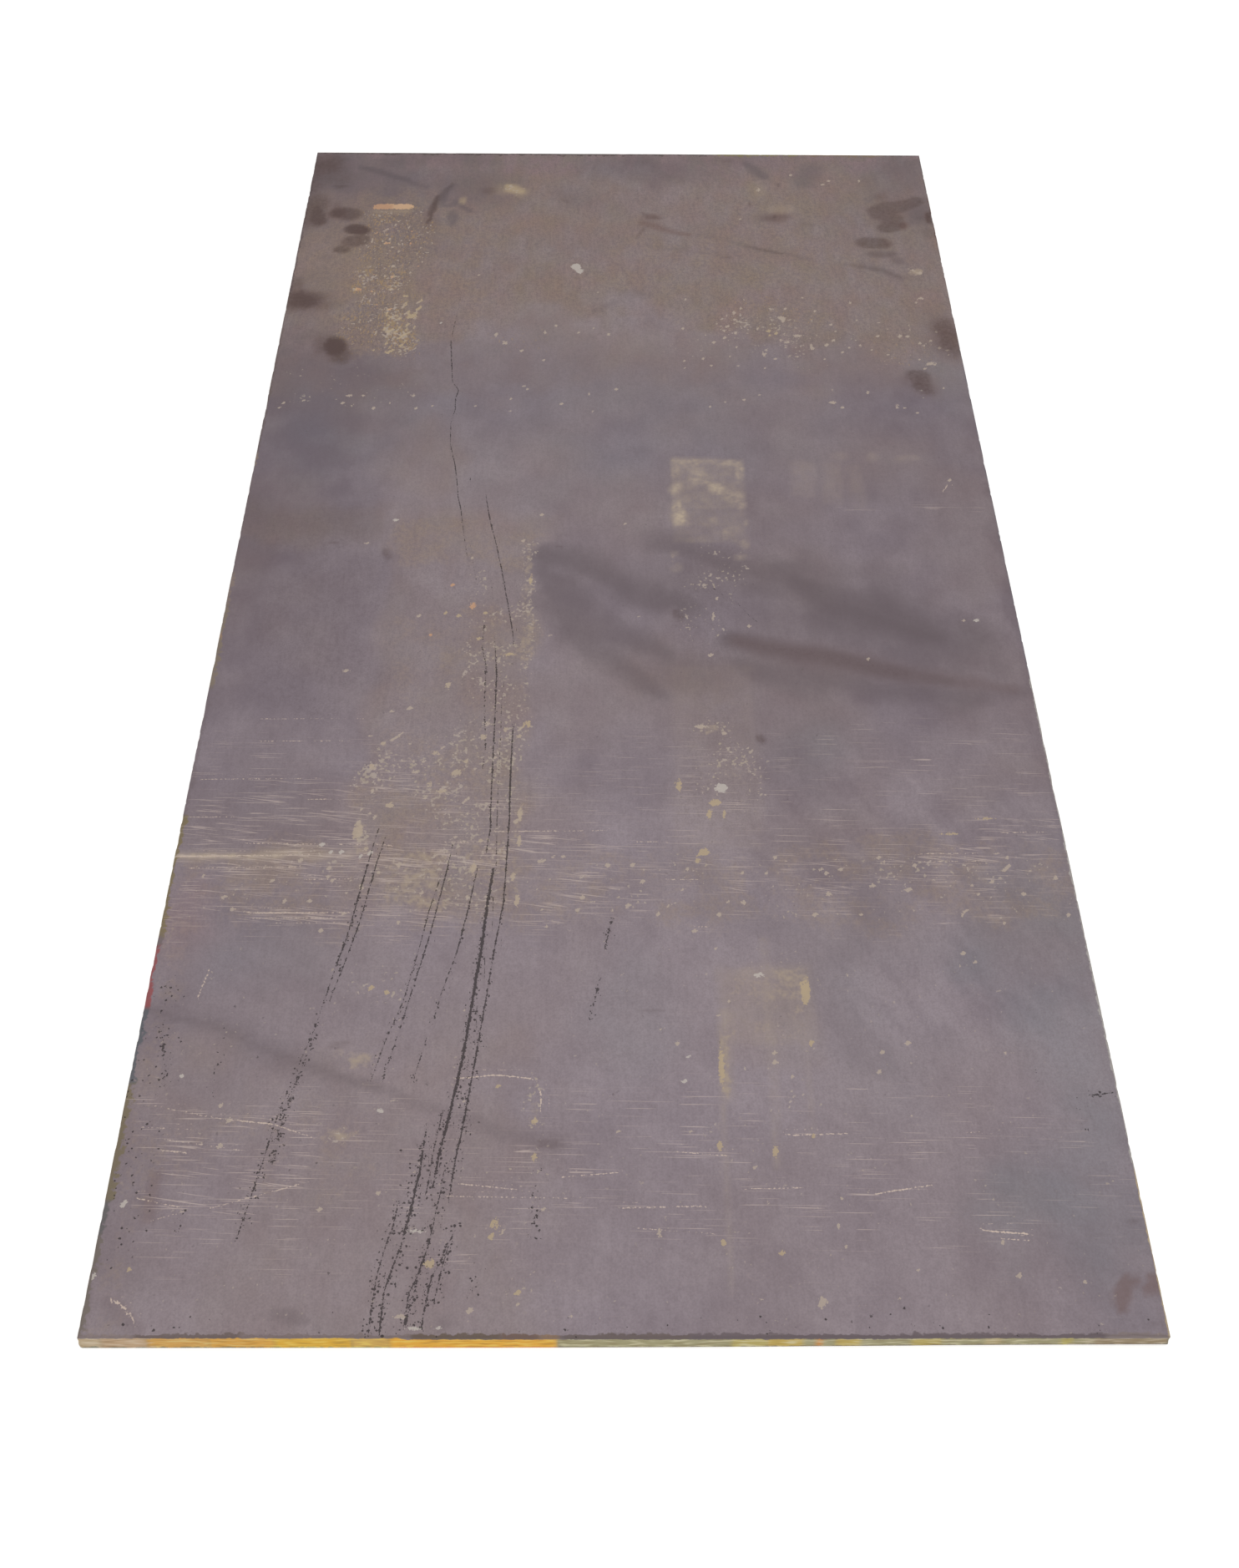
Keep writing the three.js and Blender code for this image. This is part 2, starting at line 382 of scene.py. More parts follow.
# Dark smears: wide, with no clear border. The sweep of an arm across the middle is streaked the way
# it was wiped, and the others are plain.
swept = heaped(
    0.55 * oval(300, -80, 110, 42, -24, 0.6),
    *each(oval, [
        (0.30, 80, -22, 66, 42, -30), (0.34, 205, -84, 46, 28, -20), (0.55, 190, -28, 46, 30, -20),
        (0.36, 78, -168, 60, 34, -15),
    ], soft=0.8),
    *each(stroke, [
        (0.84, [(218, -18), (262, -45), (312, -76), (392, -112)], (22, 34, 42, 32), 0.9, 14),
        (0.66, [(170, 4), (240, -34), (320, -84), (410, -122)], (18, 46, 58, 44), 0.8),
        (0.72, [(136, -116), (190, -130), (262, -150), (325, -168), (400, -186)],
         (14, 20, 22, 19, 12), 0.8, 8),
        (0.44, [(315, -166), (380, -182), (480, -204)], (16, 16, 12), 0.9, 8),
        (0.50, [(150, -160), (200, -172), (250, -182), (350, -206), (430, -220)],
         (18, 24, 26, 22, 18), 0.9),
        (0.56, [(-90, -10), (-74, -52), (-42, -92), (0, -122), (45, -142)], (18, 30, 32, 24, 18), 0.9),
        (0.54, [(-98, 45), (-98, 0), (-82, -60), (-42, -118), (4, -172), (45, -212)],
         (9, 12, 18, 18, 17, 12), 0.9),
        (0.62, [(-98, 36), (-50, 8), (0, -14), (50, -43), (90, -68)], (16, 24, 26, 22, 18), 0.8),
        (0.56, [(55, 58), (100, 34), (150, 8), (205, -5)], 24, 0.8),
    ]),
) * (0.92 + 0.14 * wiped)
# The wide panel at the back left and the faint patches along the back border darken the scale as the shade
# film does there, and like it are partly painted shade; the rest are real smears.
smear_and_shade = heaped(
    swept, 0.20 * panel(-600, -285, 700, 1000, 40), 0.14 * panel(60, 190, 950, 1000, 15),
    *each(oval, [
        (0.66, -455, 894, 9, 6, 0, 0.5, 4), (0.66, -260, 806, 9, 25, 2, 0.4, 8),
        (0.30, -270, 906, 20, 20), (0.46, 405, 711, 26, 9, 4, 0.5, 8),
    ]),
    *each(oval, [
        (0.55, 28, 972, 30, 22), (0.30, -166, -984, 10, 8, 20), (0.30, 432, 694, 14, 12, -30),
    ], soft=0.6),
    *each(oval, [
        (0.45, 60, 945, 100, 34), (0.40, 408, 870, 8, 20, -25), (0.36, 240, 806, 26, 14),
    ], soft=0.7),
    *each(oval, [
        (0.42, -450, 920, 46, 80), (0.70, -468, 955, 44, 56), (0.24, -482, 375, 24, 50),
        (0.74, 480, 828, 24, 38), (0.22, -350, 975, 60, 26), (0.22, 175, 978, 60, 24),
        (0.20, -440, 750, 34, 40), (0.35, 440, 940, 60, 40), (0.22, 30, 603, 26, 12, 10),
        (0.50, -345, 978, 50, 26), (0.42, -250, 976, 50, 22), (0.38, 130, 980, 50, 20),
        (0.45, 60, 915, 16, 22), (0.30, -68, 870, 44, 26, -30), (0.40, 450, 930, 60, 60),
    ], soft=0.8),
    *each(oval, [
        (0.34, -440, 930, 80, 80), (0.50, -215, 890, 44, 40), (0.26, -470, 610, 40, 60),
        (0.16, -375, 880, 50, 40), (0.18, -420, 480, 70, 60), (0.14, 405, 800, 90, 90),
    ], soft=0.9),
    *each(stroke, [
        (0.34, [(-495, 108), (-430, 100), (-340, 90)], 34, 0.8),
        (0.50, [(303, 910), (308, 930), (312, 950)], (20, 24, 20), 0.6, 10),
        (0.30, [(-455, 966), (-410, 948)], (10, 12)),
        (0.86, [(-425, 954), (-403, 945), (-370, 926), (-345, 913)], (6, 11, 9, 6), 0.5, 6),
        (0.66, [(-340, 905), (-310, 890)], (7, 6), 0.7, 6),
        (0.46, [(-495, -648), (-408, -680), (-298, -728), (-242, -745)], (5, 5, 6, 6), 0.8, 8),
        (0.24, [(-470, -655), (-380, -690), (-300, -725)], 16, 0.8),
        (0.30, [(-242, -745), (-145, -782), (-70, -806)], (5, 8, 9), 0.8, 8),
        (0.26, [(-480, -964), (-466, -974), (-446, -988)], (6, 9, 5), 0.6, 6),
        (0.36, [(-318, -974), (-306, -979), (-292, -984)], (5, 8, 4), 0.7, 8),
        (0.22, [(120, 764), (195, 738), (250, 713), (290, 696)], (4, 4, 6, 5), 0.8, 10),
        (0.36, [(372, 684), (398, 670), (432, 652)], (7, 9, 8), 0.7, 8),
        (0.22, [(-38, 562), (-25, 572), (-8, 580)], (6, 7, 5), 0.8),
        (0.20, [(165, -640), (250, -560), (330, -430)], 26, 0.9),
        (0.20, [(60, -470), (170, -560), (240, -700)], 30, 0.9),
        (0.78, [(-268, 900), (-276, 880), (-282, 856)], (6, 9, 9), 0.5, 8),
        (0.66, [(-286, 846), (-272, 841), (-256, 850)], (6, 6, 5), 0.5, 8),
        (0.74, [(-262, 858), (-248, 842), (-232, 826)], (6, 6, 4), 0.5, 8),
        (0.20, [(25, 733), (90, 720), (170, 703)], (3, 5, 4), 0.8, 8),
        (0.60, [(207, 966), (222, 946), (235, 928)], (7, 11, 9), 0.5),
    ]),
)
# Oil: dark brown drops and hand marks with a clear border.
oil = heaped(
    0.24 * oval(478, -923, 5, 5, 0, 0.5), 0.42 * oval(-440, 575, 24, 17, 0, 0.9),
    0.30 * oval(470, 530, 36, 62, -12, 0.9), 0.34 * panel(464, 520, 468, 556, 6, 20),
    0.50 * panel(414, 450, 396, 424, 6, 12),
    *each(oval, [
        (0.60, -430, 814, 28, 22, -8, 0.35, 16), (0.72, -444, 817, 13, 17, 0, 0.6, 8),
        (0.74, -474, 808, 14, 30, 3, 0.4, 10), (0.78, -412, 770, 26, 17, -4, 0.3, 12),
        (0.56, -412, 736, 25, 18, 8, 0.3, 16), (0.58, -429, 713, 17, 11, 0, 0.4, 12),
        (0.72, -477, 590, 36, 28, 8, 0.8, 26), (0.86, -410, 478, 18, 27, 14, 0.5, 14),
        (0.32, 297, 790, 12, 7), (0.30, 167, 703, 8, 6), (0.34, 180, 977, 14, 9),
        (0.50, 432, 806, 22, 28, 0, 0.4, 12), (0.54, 426, 786, 22, 19, 0, 0.3, 12),
        (0.46, 446, 792, 12, 14, -20, 0.4, 8), (0.34, 476, 813, 7, 7, 0, 0.6, 4),
        (0.54, 393, 741, 32, 21, -4, 0.3, 12), (0.40, 421, 710, 10, 9, 0, 0.5, 8),
        (0.34, 430, 695, 15, 11, -30, 0.6, 8), (0.66, 494, 814, 9, 20, 0, 0.5, 6),
        (0.56, 488, 508, 26, 50, 8, 0.7, 26), (0.56, 434, 392, 15, 28, 0, 0.6, 12),
        (0.34, 437, 372, 11, 14, 0, 0.7, 8), (0.40, -372, 55, 11, 4), (0.42, 73, -78, 9, 13, 35),
        (0.36, -292, -693, 14, 6, 10), (0.36, 27, -653, 16, 4), (0.38, -75, -806, 18, 6, -12),
        (0.22, 440, -846, 15, 10), (0.34, 484, -886, 11, 4), (0.40, -82, 50, 10, 4, -40),
        (0.84, -302, 796, 3, 9, 0, 0.6, 4),
    ]),
    *each(oval, [
        (0.32, -448, 696, 16, 10), (0.60, 247, 813, 4, 5), (0.34, 398, 709, 26, 9, -8),
        (0.34, 484, 770, 14, 16), (0.52, 164, -280, 6, 10, 20), (0.30, 487, -984, 10, 6),
        (0.50, 258, 904, 5, 6), (0.50, 209, 848, 4, 9),
    ], soft=0.6),
    *each(oval, [
        (0.72, -479, 828, 10, 18), (0.50, -450, 895, 16, 7), (0.45, -492, 626, 18, 22),
        (0.60, -400, 455, 18, 20), (0.34, 166, 704, 9, 4, -10), (0.26, 90, 719, 7, 5),
        (0.26, 408, 404, 12, 12), (0.45, -303, 35, 9, 12), (0.42, -208, 888, 15, 13),
        (0.40, -84, 856, 14, 6, -40), (0.40, 424, 868, 12, 20, -15),
    ], soft=0.7),
    *each(oval, [
        (0.40, -447, 838, 12, 16), (0.60, -484, 832, 28, 52), (0.66, -505, 930, 50, 100),
        (0.46, -426, 485, 22, 34), (0.36, 240, 806, 20, 11), (0.32, 262, 812, 12, 8),
        (0.26, 432, 400, 34, 36), (0.22, 496, -990, 14, 24),
    ], soft=0.8),
    *each(stroke, [
        (0.42, [(34, 824), (46, 813), (68, 809)], (6, 10, 5), 0.6, 8),
        (0.40, [(38, 777), (24, 752)], (5, 4), 0.7),
        (0.44, [(200, 734), (228, 723), (250, 713)], (4, 5, 4), 0.7, 6),
        (0.22, [(108, 762), (155, 748), (195, 734)], 3, 0.8, 6),
        (0.24, [(250, 713), (289, 695)], 4, 0.8, 6),
        (0.22, [(206, 966), (222, 945), (236, 926)], (7, 12, 10), 0.6),
        (0.52, [(415, 825), (440, 845), (475, 862)], (20, 18, 14), 0.4, 12),
        (0.20, [(470, 856), (500, 870)], (12, 8), 0.8),
        (0.36, [(346, 685), (392, 672), (431, 652)], (5, 8, 6), 0.6, 8),
        (0.26, [(150, -122), (200, -134), (268, -151), (345, -172)], (8, 13, 15, 12), 0.8, 8),
        (0.66, [(-289, 862), (-295, 836), (-302, 806)], (6, 8, 4), 0.6, 12),
        (0.40, [(-268, 904), (-277, 882), (-286, 858)], (5, 8, 7), 0.6, 10),
        (0.26, [(-418, 952), (-392, 938), (-350, 912), (-326, 901)], (6, 9, 7, 5), 0.6, 8),
    ]),
)
# Thin red-brown stains with a clear border.
stain = heaped(
    0.30 * oval(488, 500, 20, 40, 0, 0.8), 0.22 * oval(-300, 800, 14, 30, 0, 0.8),
    *each(oval, [
        (0.40, 476, -946, 7, 5, 30, 0.4, 4), (0.72, 449, 790, 8, 13, -20, 0.5, 6),
        (0.44, 50, 813, 17, 8, 10, 0.6, 8), (0.36, 248, 808, 26, 13, 0, 0.6, 10),
        (0.50, -445, 816, 13, 17, 0, 0.6, 8), (0.40, -405, 768, 15, 12, 0, 0.6, 8),
        (0.50, 491, 815, 6, 15, 0, 0.5, 4), (0.28, 416, 743, 10, 12, 0, 0.6, 8),
        (0.26, 430, 815, 24, 28, 0, 0.6, 12),
    ]),
    *each(oval, [
        (0.30, -470, 590, 30, 24), (0.26, -480, 962, 18, 30), (0.20, 436, 398, 16, 24),
    ], soft=0.7),
    *each(panel, [
        (0.48, 481, 500, -957, -947, 2, 5), (0.46, 489, 500, -950, -937, 2, 5),
        (0.24, -462, -449, -890, -835, 4),
    ]),
    *each(stroke, [
        (0.50, [(470, -945), (464, -957), (460, -968)], (6, 9, 6), 0.4, 8),
        (0.50, [(36, 792), (72, 779), (108, 763)], (9, 7, 4), 0.7, 8),
        (0.18, [(145, -120), (200, -134), (268, -151), (345, -172), (470, -198)],
         (10, 20, 22, 17, 9), 0.8, 8),
    ]),
)
# Blue-grey patches where the scale is thinnest.
blue = heaped(
    0.70 * oval(400, -575, 60, 45, 0, 0.7), 0.80 * oval(405, -868, 60, 40, 0, 0.7),
    *each(oval, [
        (0.45, -380, 300, 110, 110), (0.75, 465, -690, 60, 230), (0.75, 480, 425, 40, 80),
        (0.60, 450, -890, 70, 70), (0.50, 215, -290, 60, 40), (0.35, -50, 300, 300, 130),
        (0.35, 240, -650, 90, 120), (0.40, 0, -660, 40, 60), (0.35, -390, -580, 80, 40),
    ], soft=0.8),
) * (0.5 + 0.9 * clouds(60, 7))
# Glue and grey pulp left where a paper label was torn off: a thin coat, thicker in some places.
label = (
    sum(each(oval, [
        (0.34, 92, 214, 17, 8), (0.22, 120, 219, 14, 5), (0.26, 148, 216, 12, 6),
        (0.42, 162, 202, 5, 15), (0.20, 74, 205, 6, 18), (0.20, 104, 188, 12, 15),
        (0.20, 116, 176, 20, 6, -20), (0.48, 76, 164, 8, 12), (0.32, 134, 163, 17, 8, -20),
        (0.38, 154, 149, 12, 11), (0.36, 164, 131, 5, 5), (0.36, 74, 132, 6, 9), (0.56, 77, 111, 9, 17),
        (0.34, 71, 100, 5, 12), (0.16, 84, 93, 8, 5), (0.12, 118, 100, 15, 9), (0.34, 138, 76, 4, 10),
        (0.24, 165, 96, 3, 6), (0.14, 152, 86, 12, 10), (0.12, 100, 63, 20, 4), (0.26, 160, 54, 6, 9),
        (0.10, 140, -604, 22, 6), (0.12, 300, 233, 14, 7), (0.12, 345, 232, 8, 9),
        (0.12, 390, 228, 18, 7), (0.22, 154, 32, 8, 6), (0.20, 70, 8, 7, 7), (0.16, 68, 36, 4, 6),
    ]))
    + sum(each(panel, [
        (0.20, 69, 167, 128, 225, 3, 5), (0.12, 67, 166, 60, 132, 4, 8),
        (0.10, 97, 197, -692, -598, 4, 6), (0.16, 97, 108, -760, -650, 3, 5),
        (0.20, 148, 153, -830, -560, 2, 2), (0.20, 96, 100, -960, -760, 2, 2),
        (0.16, 182, 186, -800, -660, 2, 2), (0.06, 60, 160, -440, -160, 5, 8),
        (0.09, 230, 262, 150, 222, 4), (0.08, 272, 300, 135, 222, 4), (0.08, 308, 328, 130, 215, 4),
        (0.44, -520, -350, -456, -449, 2, 4), (0.22, -520, -300, -462, -444, 5, 6),
    ]))
) * (0.66 + 0.6 * clouds(9, 41, 2))
# Where the borders of straps lay and glue still holds dust.
glue = heaped(
    0.40 * oval(452, 663, 22, 17, 0, 0.8),
    0.50 * stroke([(-488, -500), (-486, -560), (-480, -612)], (4, 6, 8)),
    *each(oval, [
        (0.40, -450, 352, 24, 9), (0.35, -385, 348, 26, 9), (0.30, -205, 345, 18, 9),
        (0.45, -175, -986, 22, 9), (0.80, 456, 667, 13, 11, 0, 0.5, 5),
    ]),
    *each(oval, [
        (0.70, -297, -425, 12, 34), (0.72, 104, -264, 28, 12, 14), (0.50, -90, -760, 10, 45),
    ], soft=0.6),
    *each(oval, [
        (0.26, -268, -715, 34, 14, -20), (0.48, -210, -350, 35, 40), (0.46, -275, -320, 36, 36),
        (0.34, -270, -370, 40, 30), (0.40, 125, -330, 40, 44), (0.64, -278, -710, 42, 14),
        (0.60, -280, -795, 28, 11), (0.44, -265, -620, 45, 24),
    ], soft=0.7),
    *each(panel, [
        (0.32, -496, -484, -1000, -440, 6, 16), (0.40, -489, -486, -760, -698, 1.5, 3),
        (0.48, -268, -232, 333, 345, 4, 6), (0.12, 232, 410, 224, 242, 8),
        (0.34, -313, -307, -132, -74, 2, 4), (0.50, -493, -486, -465, -402, 2, 6),
        (0.50, -490, -485, -872, -770, 2, 8), (0.28, -499, -486, -180, -30, 4, 14),
        (0.50, -97, -87, -990, -930, 4, 5), (0.36, 60, 72, -20, 60, 4, 6),
        (0.62, -126, -109, -235, 60, 4, 6), (0.54, -124, -110, -530, -370, 4, 6),
        (0.36, 152, 162, -250, 60, 4, 6), (0.30, -215, -118, -150, 0, 16),
        (0.40, -165, -118, -320, -60, 16), (0.36, -235, -118, -400, -250, 20),
        (0.55, -180, -112, -500, -430, 12), (0.70, -262, -190, -525, -440, 8),
        (0.40, -200, -150, -515, -440, 16), (0.62, 100, 197, -640, -598, 10),
        (0.50, 95, 195, -700, -600, 14), (0.85, 93, 108, -755, -686, 4, 6),
        (0.50, 92, 100, -800, -650, 3, 6), (0.85, 183, 198, -648, -610, 5, 8),
        (0.28, 88, 160, -960, -752, 14), (0.28, -135, -85, -960, -815, 12),
        (0.20, -600, 600, -560, -430, 30),
    ]),
) * (0.72 + 0.5 * clouds(17, 8, 2))
# The dried splash near the back border, soft and yellow.
splash = heaped(
    0.60 * oval(-248, 856, 5, 10, 0, 0.6, 4), 0.30 * oval(-185, 893, 14, 14, 0, 0.9),
    0.34 * panel(-392, -330, 818, 830, 4, 4),
    0.95 * stroke([(-185, 903), (-176, 896), (-163, 889)], (5, 10, 8), 0.6, 14),
    *each(oval, [
        (0.46, -158, 882, 9, 10), (0.22, 223, 885, 12, 22), (0.25, 255, 832, 22, 12),
    ], soft=0.8),
)
# Rust that streaks along the rolling direction, thickest at the near end of its patch.
rust = heaped(
    0.05 * back_half, 0.40 * panel(-405, -300, 470, 830, 26), 0.14 * panel(-600, 600, 970, 1000, 8),
    *each(oval, [
        (0.60, -322, 515, 30, 66, 4), (0.50, -350, 600, 50, 110), (0.52, -395, 640, 20, 60),
        (0.26, 230, 560, 80, 60), (0.24, -150, 490, 60, 40), (0.24, 430, 480, 70, 50),
    ], soft=0.7),
) * (0.7 + 0.5 * clouds(20, 9, 2))
# Crumbs of mortar, pulp and rust, too many to name, where wet straps and the label lay.
crumbs = heaped(
    *each(oval, [
        (0.24, -450, 350, 34, 16), (0.24, -380, 350, 34, 16), (0.40, -174, 892, 20, 16),
    ]),
    *each(oval, [
        (0.62, 456, 667, 15, 13), (0.46, -297, -425, 12, 36), (0.26, 110, -262, 34, 16, 10),
    ], soft=0.6),
    *each(oval, [
        (0.46, -322, 510, 28, 62, 4), (0.36, -345, 590, 42, 100, 8), (0.34, -395, 640, 14, 50),
        (0.44, -215, -345, 38, 60), (0.44, -275, -330, 34, 46), (0.30, 125, -330, 42, 60),
        (0.28, -262, -620, 50, 26), (0.36, -280, -795, 30, 12), (0.34, -90, -770, 12, 60),
    ], soft=0.7),
    *each(panel, [
        (0.26, -405, -298, 455, 830, 14), (0.28, 150, 280, 440, 575, 20), (0.16, 90, 480, 420, 540, 30),
        (0.14, -480, -290, 330, 440, 20), (0.36, -196, -166, -92, 2, 6),
        (0.36, -130, -108, -330, 60, 5, 6), (0.34, -190, -110, -330, -60, 12),
        (0.33, -215, -112, -520, -230, 16), (0.28, -180, -110, -535, -430, 10),
        (0.20, -262, -190, -528, -440, 10), (0.28, -370, -290, -480, -440, 14),
        (0.26, 80, 160, -110, 60, 16), (0.08, 92, 198, -660, -595, 12), (0.18, 88, 200, -830, -660, 14),
        (0.16, -600, 600, -545, -450, 12), (0.24, 200, 490, -500, -452, 10),
        (0.16, -140, -80, -960, -815, 14), (0.10, -500, 500, -1000, -560, 30),
    ]),
) * (0.35 + 1.1 * clouds(21, 15, 2))
# Pink and mauve patches in the scale, most of them along the back border.
blush = heaped(
    0.85 * smooth(Y + 50 * DRIFT_Y, 905, 965) * smooth(clouds(20, 21, 3, long=2), 0.42, 0.72),
    0.26 * back_half * smooth(clouds(30, 22, 3), 0.5, 0.9), 0.60 * oval(246, 970, 44, 14, 0, 0.6, 10),
    0.30 * oval(-470, 700, 40, 120, -12, 0.8), 0.60 * oval(-470, -540, 34, 50, 0, 0.8),
    0.22 * stroke([(-478, -962), (-462, -975), (-444, -990)], (7, 9, 6)),
)
# How strong the fine mottling of the skin is.
worn = heaped(
    0.92 + 0.75 * back_half,
    *each(panel, [
        (1.30, -480, -290, -260, 160, 60), (2.3, -410, -295, 470, 830, 24),
        (1.15, -305, -108, -530, 110, 20), (1.2, 65, 165, -420, 225, 14),
    ]),
)

films = {
    "shade": shade, "dust": dust, "bloom": bloom, "smear_and_shade": smear_and_shade, "oil": oil, "blue": blue,
    "glue": glue, "label": label, "stain": stain, "rust": rust, "mottle": mottle, "splash": splash,
    "crumbs": crumbs, "worn": worn, "blush": blush,
}

# ---- Flecks ---------------------------------------------------------------------------------------
# Chips of dried mortar, paint and primer, and grains of rust, stuck flat on the scale. A fleck is
# held as its height above its own rim, so that its border stays sharp between the grid's points.

PITCH_X = 2 * (HALF_WIDTH - BORDER) / COLUMNS
PITCH_Y = 2 * (HALF_LENGTH - BORDER) / ROWS
WHITE, CREAM, TAN, MUSTARD, PEACH, ORANGE = 0.0, 0.33, 0.45, 0.66, 0.85, 1.0
SMALL = 4.0  # a fleck under this half width is moved to the nearest grid point, so that it shows
MUSTARD_SHARE = 0.8  # of a mustard fleck's own size, as its ragged rim reaches out past it
BAR = 2.2  # a fleck more than this many times as long as it is wide is a rectangle
NO_FLECK = -6.0  # the height where there is none

white_flecks = [
    (-66, 675, 8, 9), (-60, 664, 6, 7), (-298, 100, 4, 3), (114, -354, 8, 7), (-333, -434, 3, 3),
    (-323, -445, 3, 3), (-313, -445, 3, 3), (-292, -453, 3, 3), (-281, -445, 3, 3), (142, -608, 6, 3),
    (-493, -940, 3, 4), (-193, -988, 6, 2), (-168, -990, 3, 2), (-197, -898, 7, 2), (428, 376, 2, 3),
    (-476, -868, 3, 4), (448, -82, 4, 3), (-443, -728, 2, 2), (-264, 532, 2, 3), (68, -708, 3, 2),
    (60, -737, 5, 2), (-243, -767, 4, 3),
]
cream_flecks = [
    (449, 671, 4, 4), (461, 663, 5, 4), (182, -965, 5, 6), (-206, -977, 4, 2), (-145, -972, 3, 2),
    (-475, 341, 3, 3), (-445, 348, 3, 2), (-392, 343, 3, 3), (-379, 357, 2, 3), (-363, 362, 3, 3),
    (-347, 334, 3, 3), (-293, 361, 4, 4), (-287, 332, 3, 3), (-262, 337, 2, 2), (-202, 339, 2, 2),
    (-133, 374, 2, 2), (-152, 353, 2, 2), (-82, 342, 3, 3), (-8, 378, 3, 3), (129, 337, 2, 2),
    (146, 347, 2, 2), (175, 356, 3, 3), (198, 363, 2, 2), (301, 350, 3, 3), (313, 338, 3, 3),
    (401, 338, 2, 2), (352, 370, 2, 4), (-182, 502, 3, 6), (-168, 483, 4, 5), (-144, 464, 3, 3),
    (-110, 508, 3, 4), (-93, 525, 2, 3), (-59, 508, 2, 3), (-15, 505, 4, 4), (-37, 518, 2, 2),
    (-109, 441, 3, 3), (93, 522, 2, 3), (122, 445, 2, 3), (130, 432, 2, 2), (169, 431, 2, 2),
    (138, 486, 3, 3), (152, 495, 3, 3), (158, 523, 3, 3), (172, 560, 3, 5), (227, 568, 4, 4),
    (242, 545, 5, 6), (262, 503, 6, 4), (245, 488, 4, 4), (211, 458, 4, 5), (227, 445, 3, 3),
    (302, 479, 3, 4), (315, 493, 3, 3), (315, 528, 3, 3), (380, 503, 3, 3), (410, 505, 3, 4),
    (424, 505, 3, 3), (442, 488, 3, 3), (457, 490, 3, 3), (467, 473, 3, 3), (479, 469, 3, 2),
    (453, 438, 6, 4), (443, 438, 3, 3), (393, 457, 2, 2), (225, 890, 3, 6), (278, 933, 3, 4),
    (190, 808, 2, 3), (342, 917, 3, 3), (328, 908, 3, 3), (393, 918, 2, 3), (-348, 673, 3, 5),
    (-318, 656, 2, 4), (-292, 733, 2, 3), (-213, 654, 2, 2), (-33, 609, 2, 2), (-332, 58, 3, 2),
    (-128, 63, 3, 3), (-105, 109, 3, 3), (-190, 28, 2, 2), (-253, -76, 3, 3), (-333, -173, 4, 3),
    (-90, -113, 2, 2), (7, 95, 2, 2), (24, -80, 2, 2), (302, -149, 2, 2), (444, 182, 3, 3),
    (117, -78, 2, 7), (122, -45, 2, 3), (158, -92, 3, 3), (112, -143, 3, 3), (428, -83, 2, 2),
    (-254, -234, 3, 3), (-436, -507, 3, 3), (-421, -523, 3, 3), (-367, -515, 3, 3), (-342, -514, 3, 3),
    (-386, -484, 3, 3), (-355, -458, 3, 3), (-323, -470, 3, 3), (-322, -552, 3, 3), (-245, -465, 4, 3),
    (-75, -455, 2, 2), (-19, -463, 3, 3), (-43, -509, 3, 3), (10, -462, 3, 3), (23, -484, 3, 3),
    (168, -453, 3, 3), (228, -478, 3, 3), (240, -470, 3, 3), (276, -491, 4, 3), (316, -497, 4, 3),
    (326, -467, 3, 3), (288, -453, 3, 3), (408, -487, 3, 3), (438, -501, 3, 3), (428, -462, 3, 3),
    (477, -481, 3, 3), (483, -528, 3, 3), (131, -512, 3, 3), (106, -528, 3, 3), (223, -505, 4, 3),
    (211, -530, 3, 3), (76, -553, 3, 3), (361, -582, 3, 3), (372, -592, 3, 2), (8, -522, 3, 3),
    (56, -693, 3, 3), (152, -702, 3, 3), (154, -712, 3, 3), (265, -702, 3, 3), (293, -690, 3, 3),
    (388, -704, 2, 2), (256, -724, 3, 3), (366, -937, 3, 3), (-238, -859, 3, 3), (-290, -874, 3, 3),
    (-141, -971, 3, 3), (-207, -978, 3, 2), (-402, -762, 3, 3), (-392, -780, 3, 3), (-394, -806, 3, 3),
    (96, -260, 7, 3), (122, -270, 3, 3),
]
mustard_flecks = [
    (-116, -9, 3, 11), (-135, -143, 10, 3), (-203, -78, 4, 4), (-218, -72, 3, 4), (-170, -73, 4, 4),
    (-177, -118, 4, 4), (-112, -257, 6, 7), (65, -350, 5, 11), (106, -376, 8, 7), (101, -390, 4, 8),
    (114, -390, 3, 7), (91, -446, 9, 7), (84, -458, 5, 5), (-265, -623, 5, 4), (-245, -630, 4, 4),
    (-90, -779, 4, 5), (-127, -740, 4, 3), (-88, -817, 4, 6), (-124, -888, 5, 8), (-126, -903, 4, 4),
    (-183, -928, 7, 6), (-97, -955, 4, 4), (94, -809, 4, 7), (150, -810, 4, 8), (150, -920, 5, 4),
    (92, -909, 3, 5), (187, -795, 3, 3), (192, -692, 3, 5), (191, -629, 6, 18), (98, -718, 4, 26),
    (222, 515, 5, 4), (231, 508, 4, 5), (219, 505, 3, 3), (-342, 542, 3, 5), (-310, 547, 3, 6),
    (-312, 525, 4, 6), (-328, 510, 3, 4), (-318, 497, 3, 5), (-343, 482, 3, 4), (-318, 473, 4, 6),
    (-358, 465, 3, 3), (-330, 462, 4, 3), (-463, -933, 3, 3), (415, -397, 10, 2), (368, -421, 12, 2),
]
tan_flecks = [
    (-210, -195, 4, 6), (-163, -278, 5, 5), (-135, -265, 3, 4), (-120, -277, 3, 4), (-217, -303, 5, 4),
    (-183, -315, 4, 4), (-192, -332, 6, 5), (-222, -350, 5, 4), (-207, -360, 6, 4), (-290, -323, 4, 5),
    (-280, -288, 3, 3), (-265, -380, 5, 4), (-298, -418, 6, 11), (-288, -442, 3, 4),
    (-117, -390, 3, 10), (-118, -432, 3, 8), (-122, -482, 3, 6), (-118, -514, 3, 9), (-162, -432, 3, 3),
    (-165, -468, 3, 10),
]
peach_flecks = [(-345, 837, 17, 7.5)]
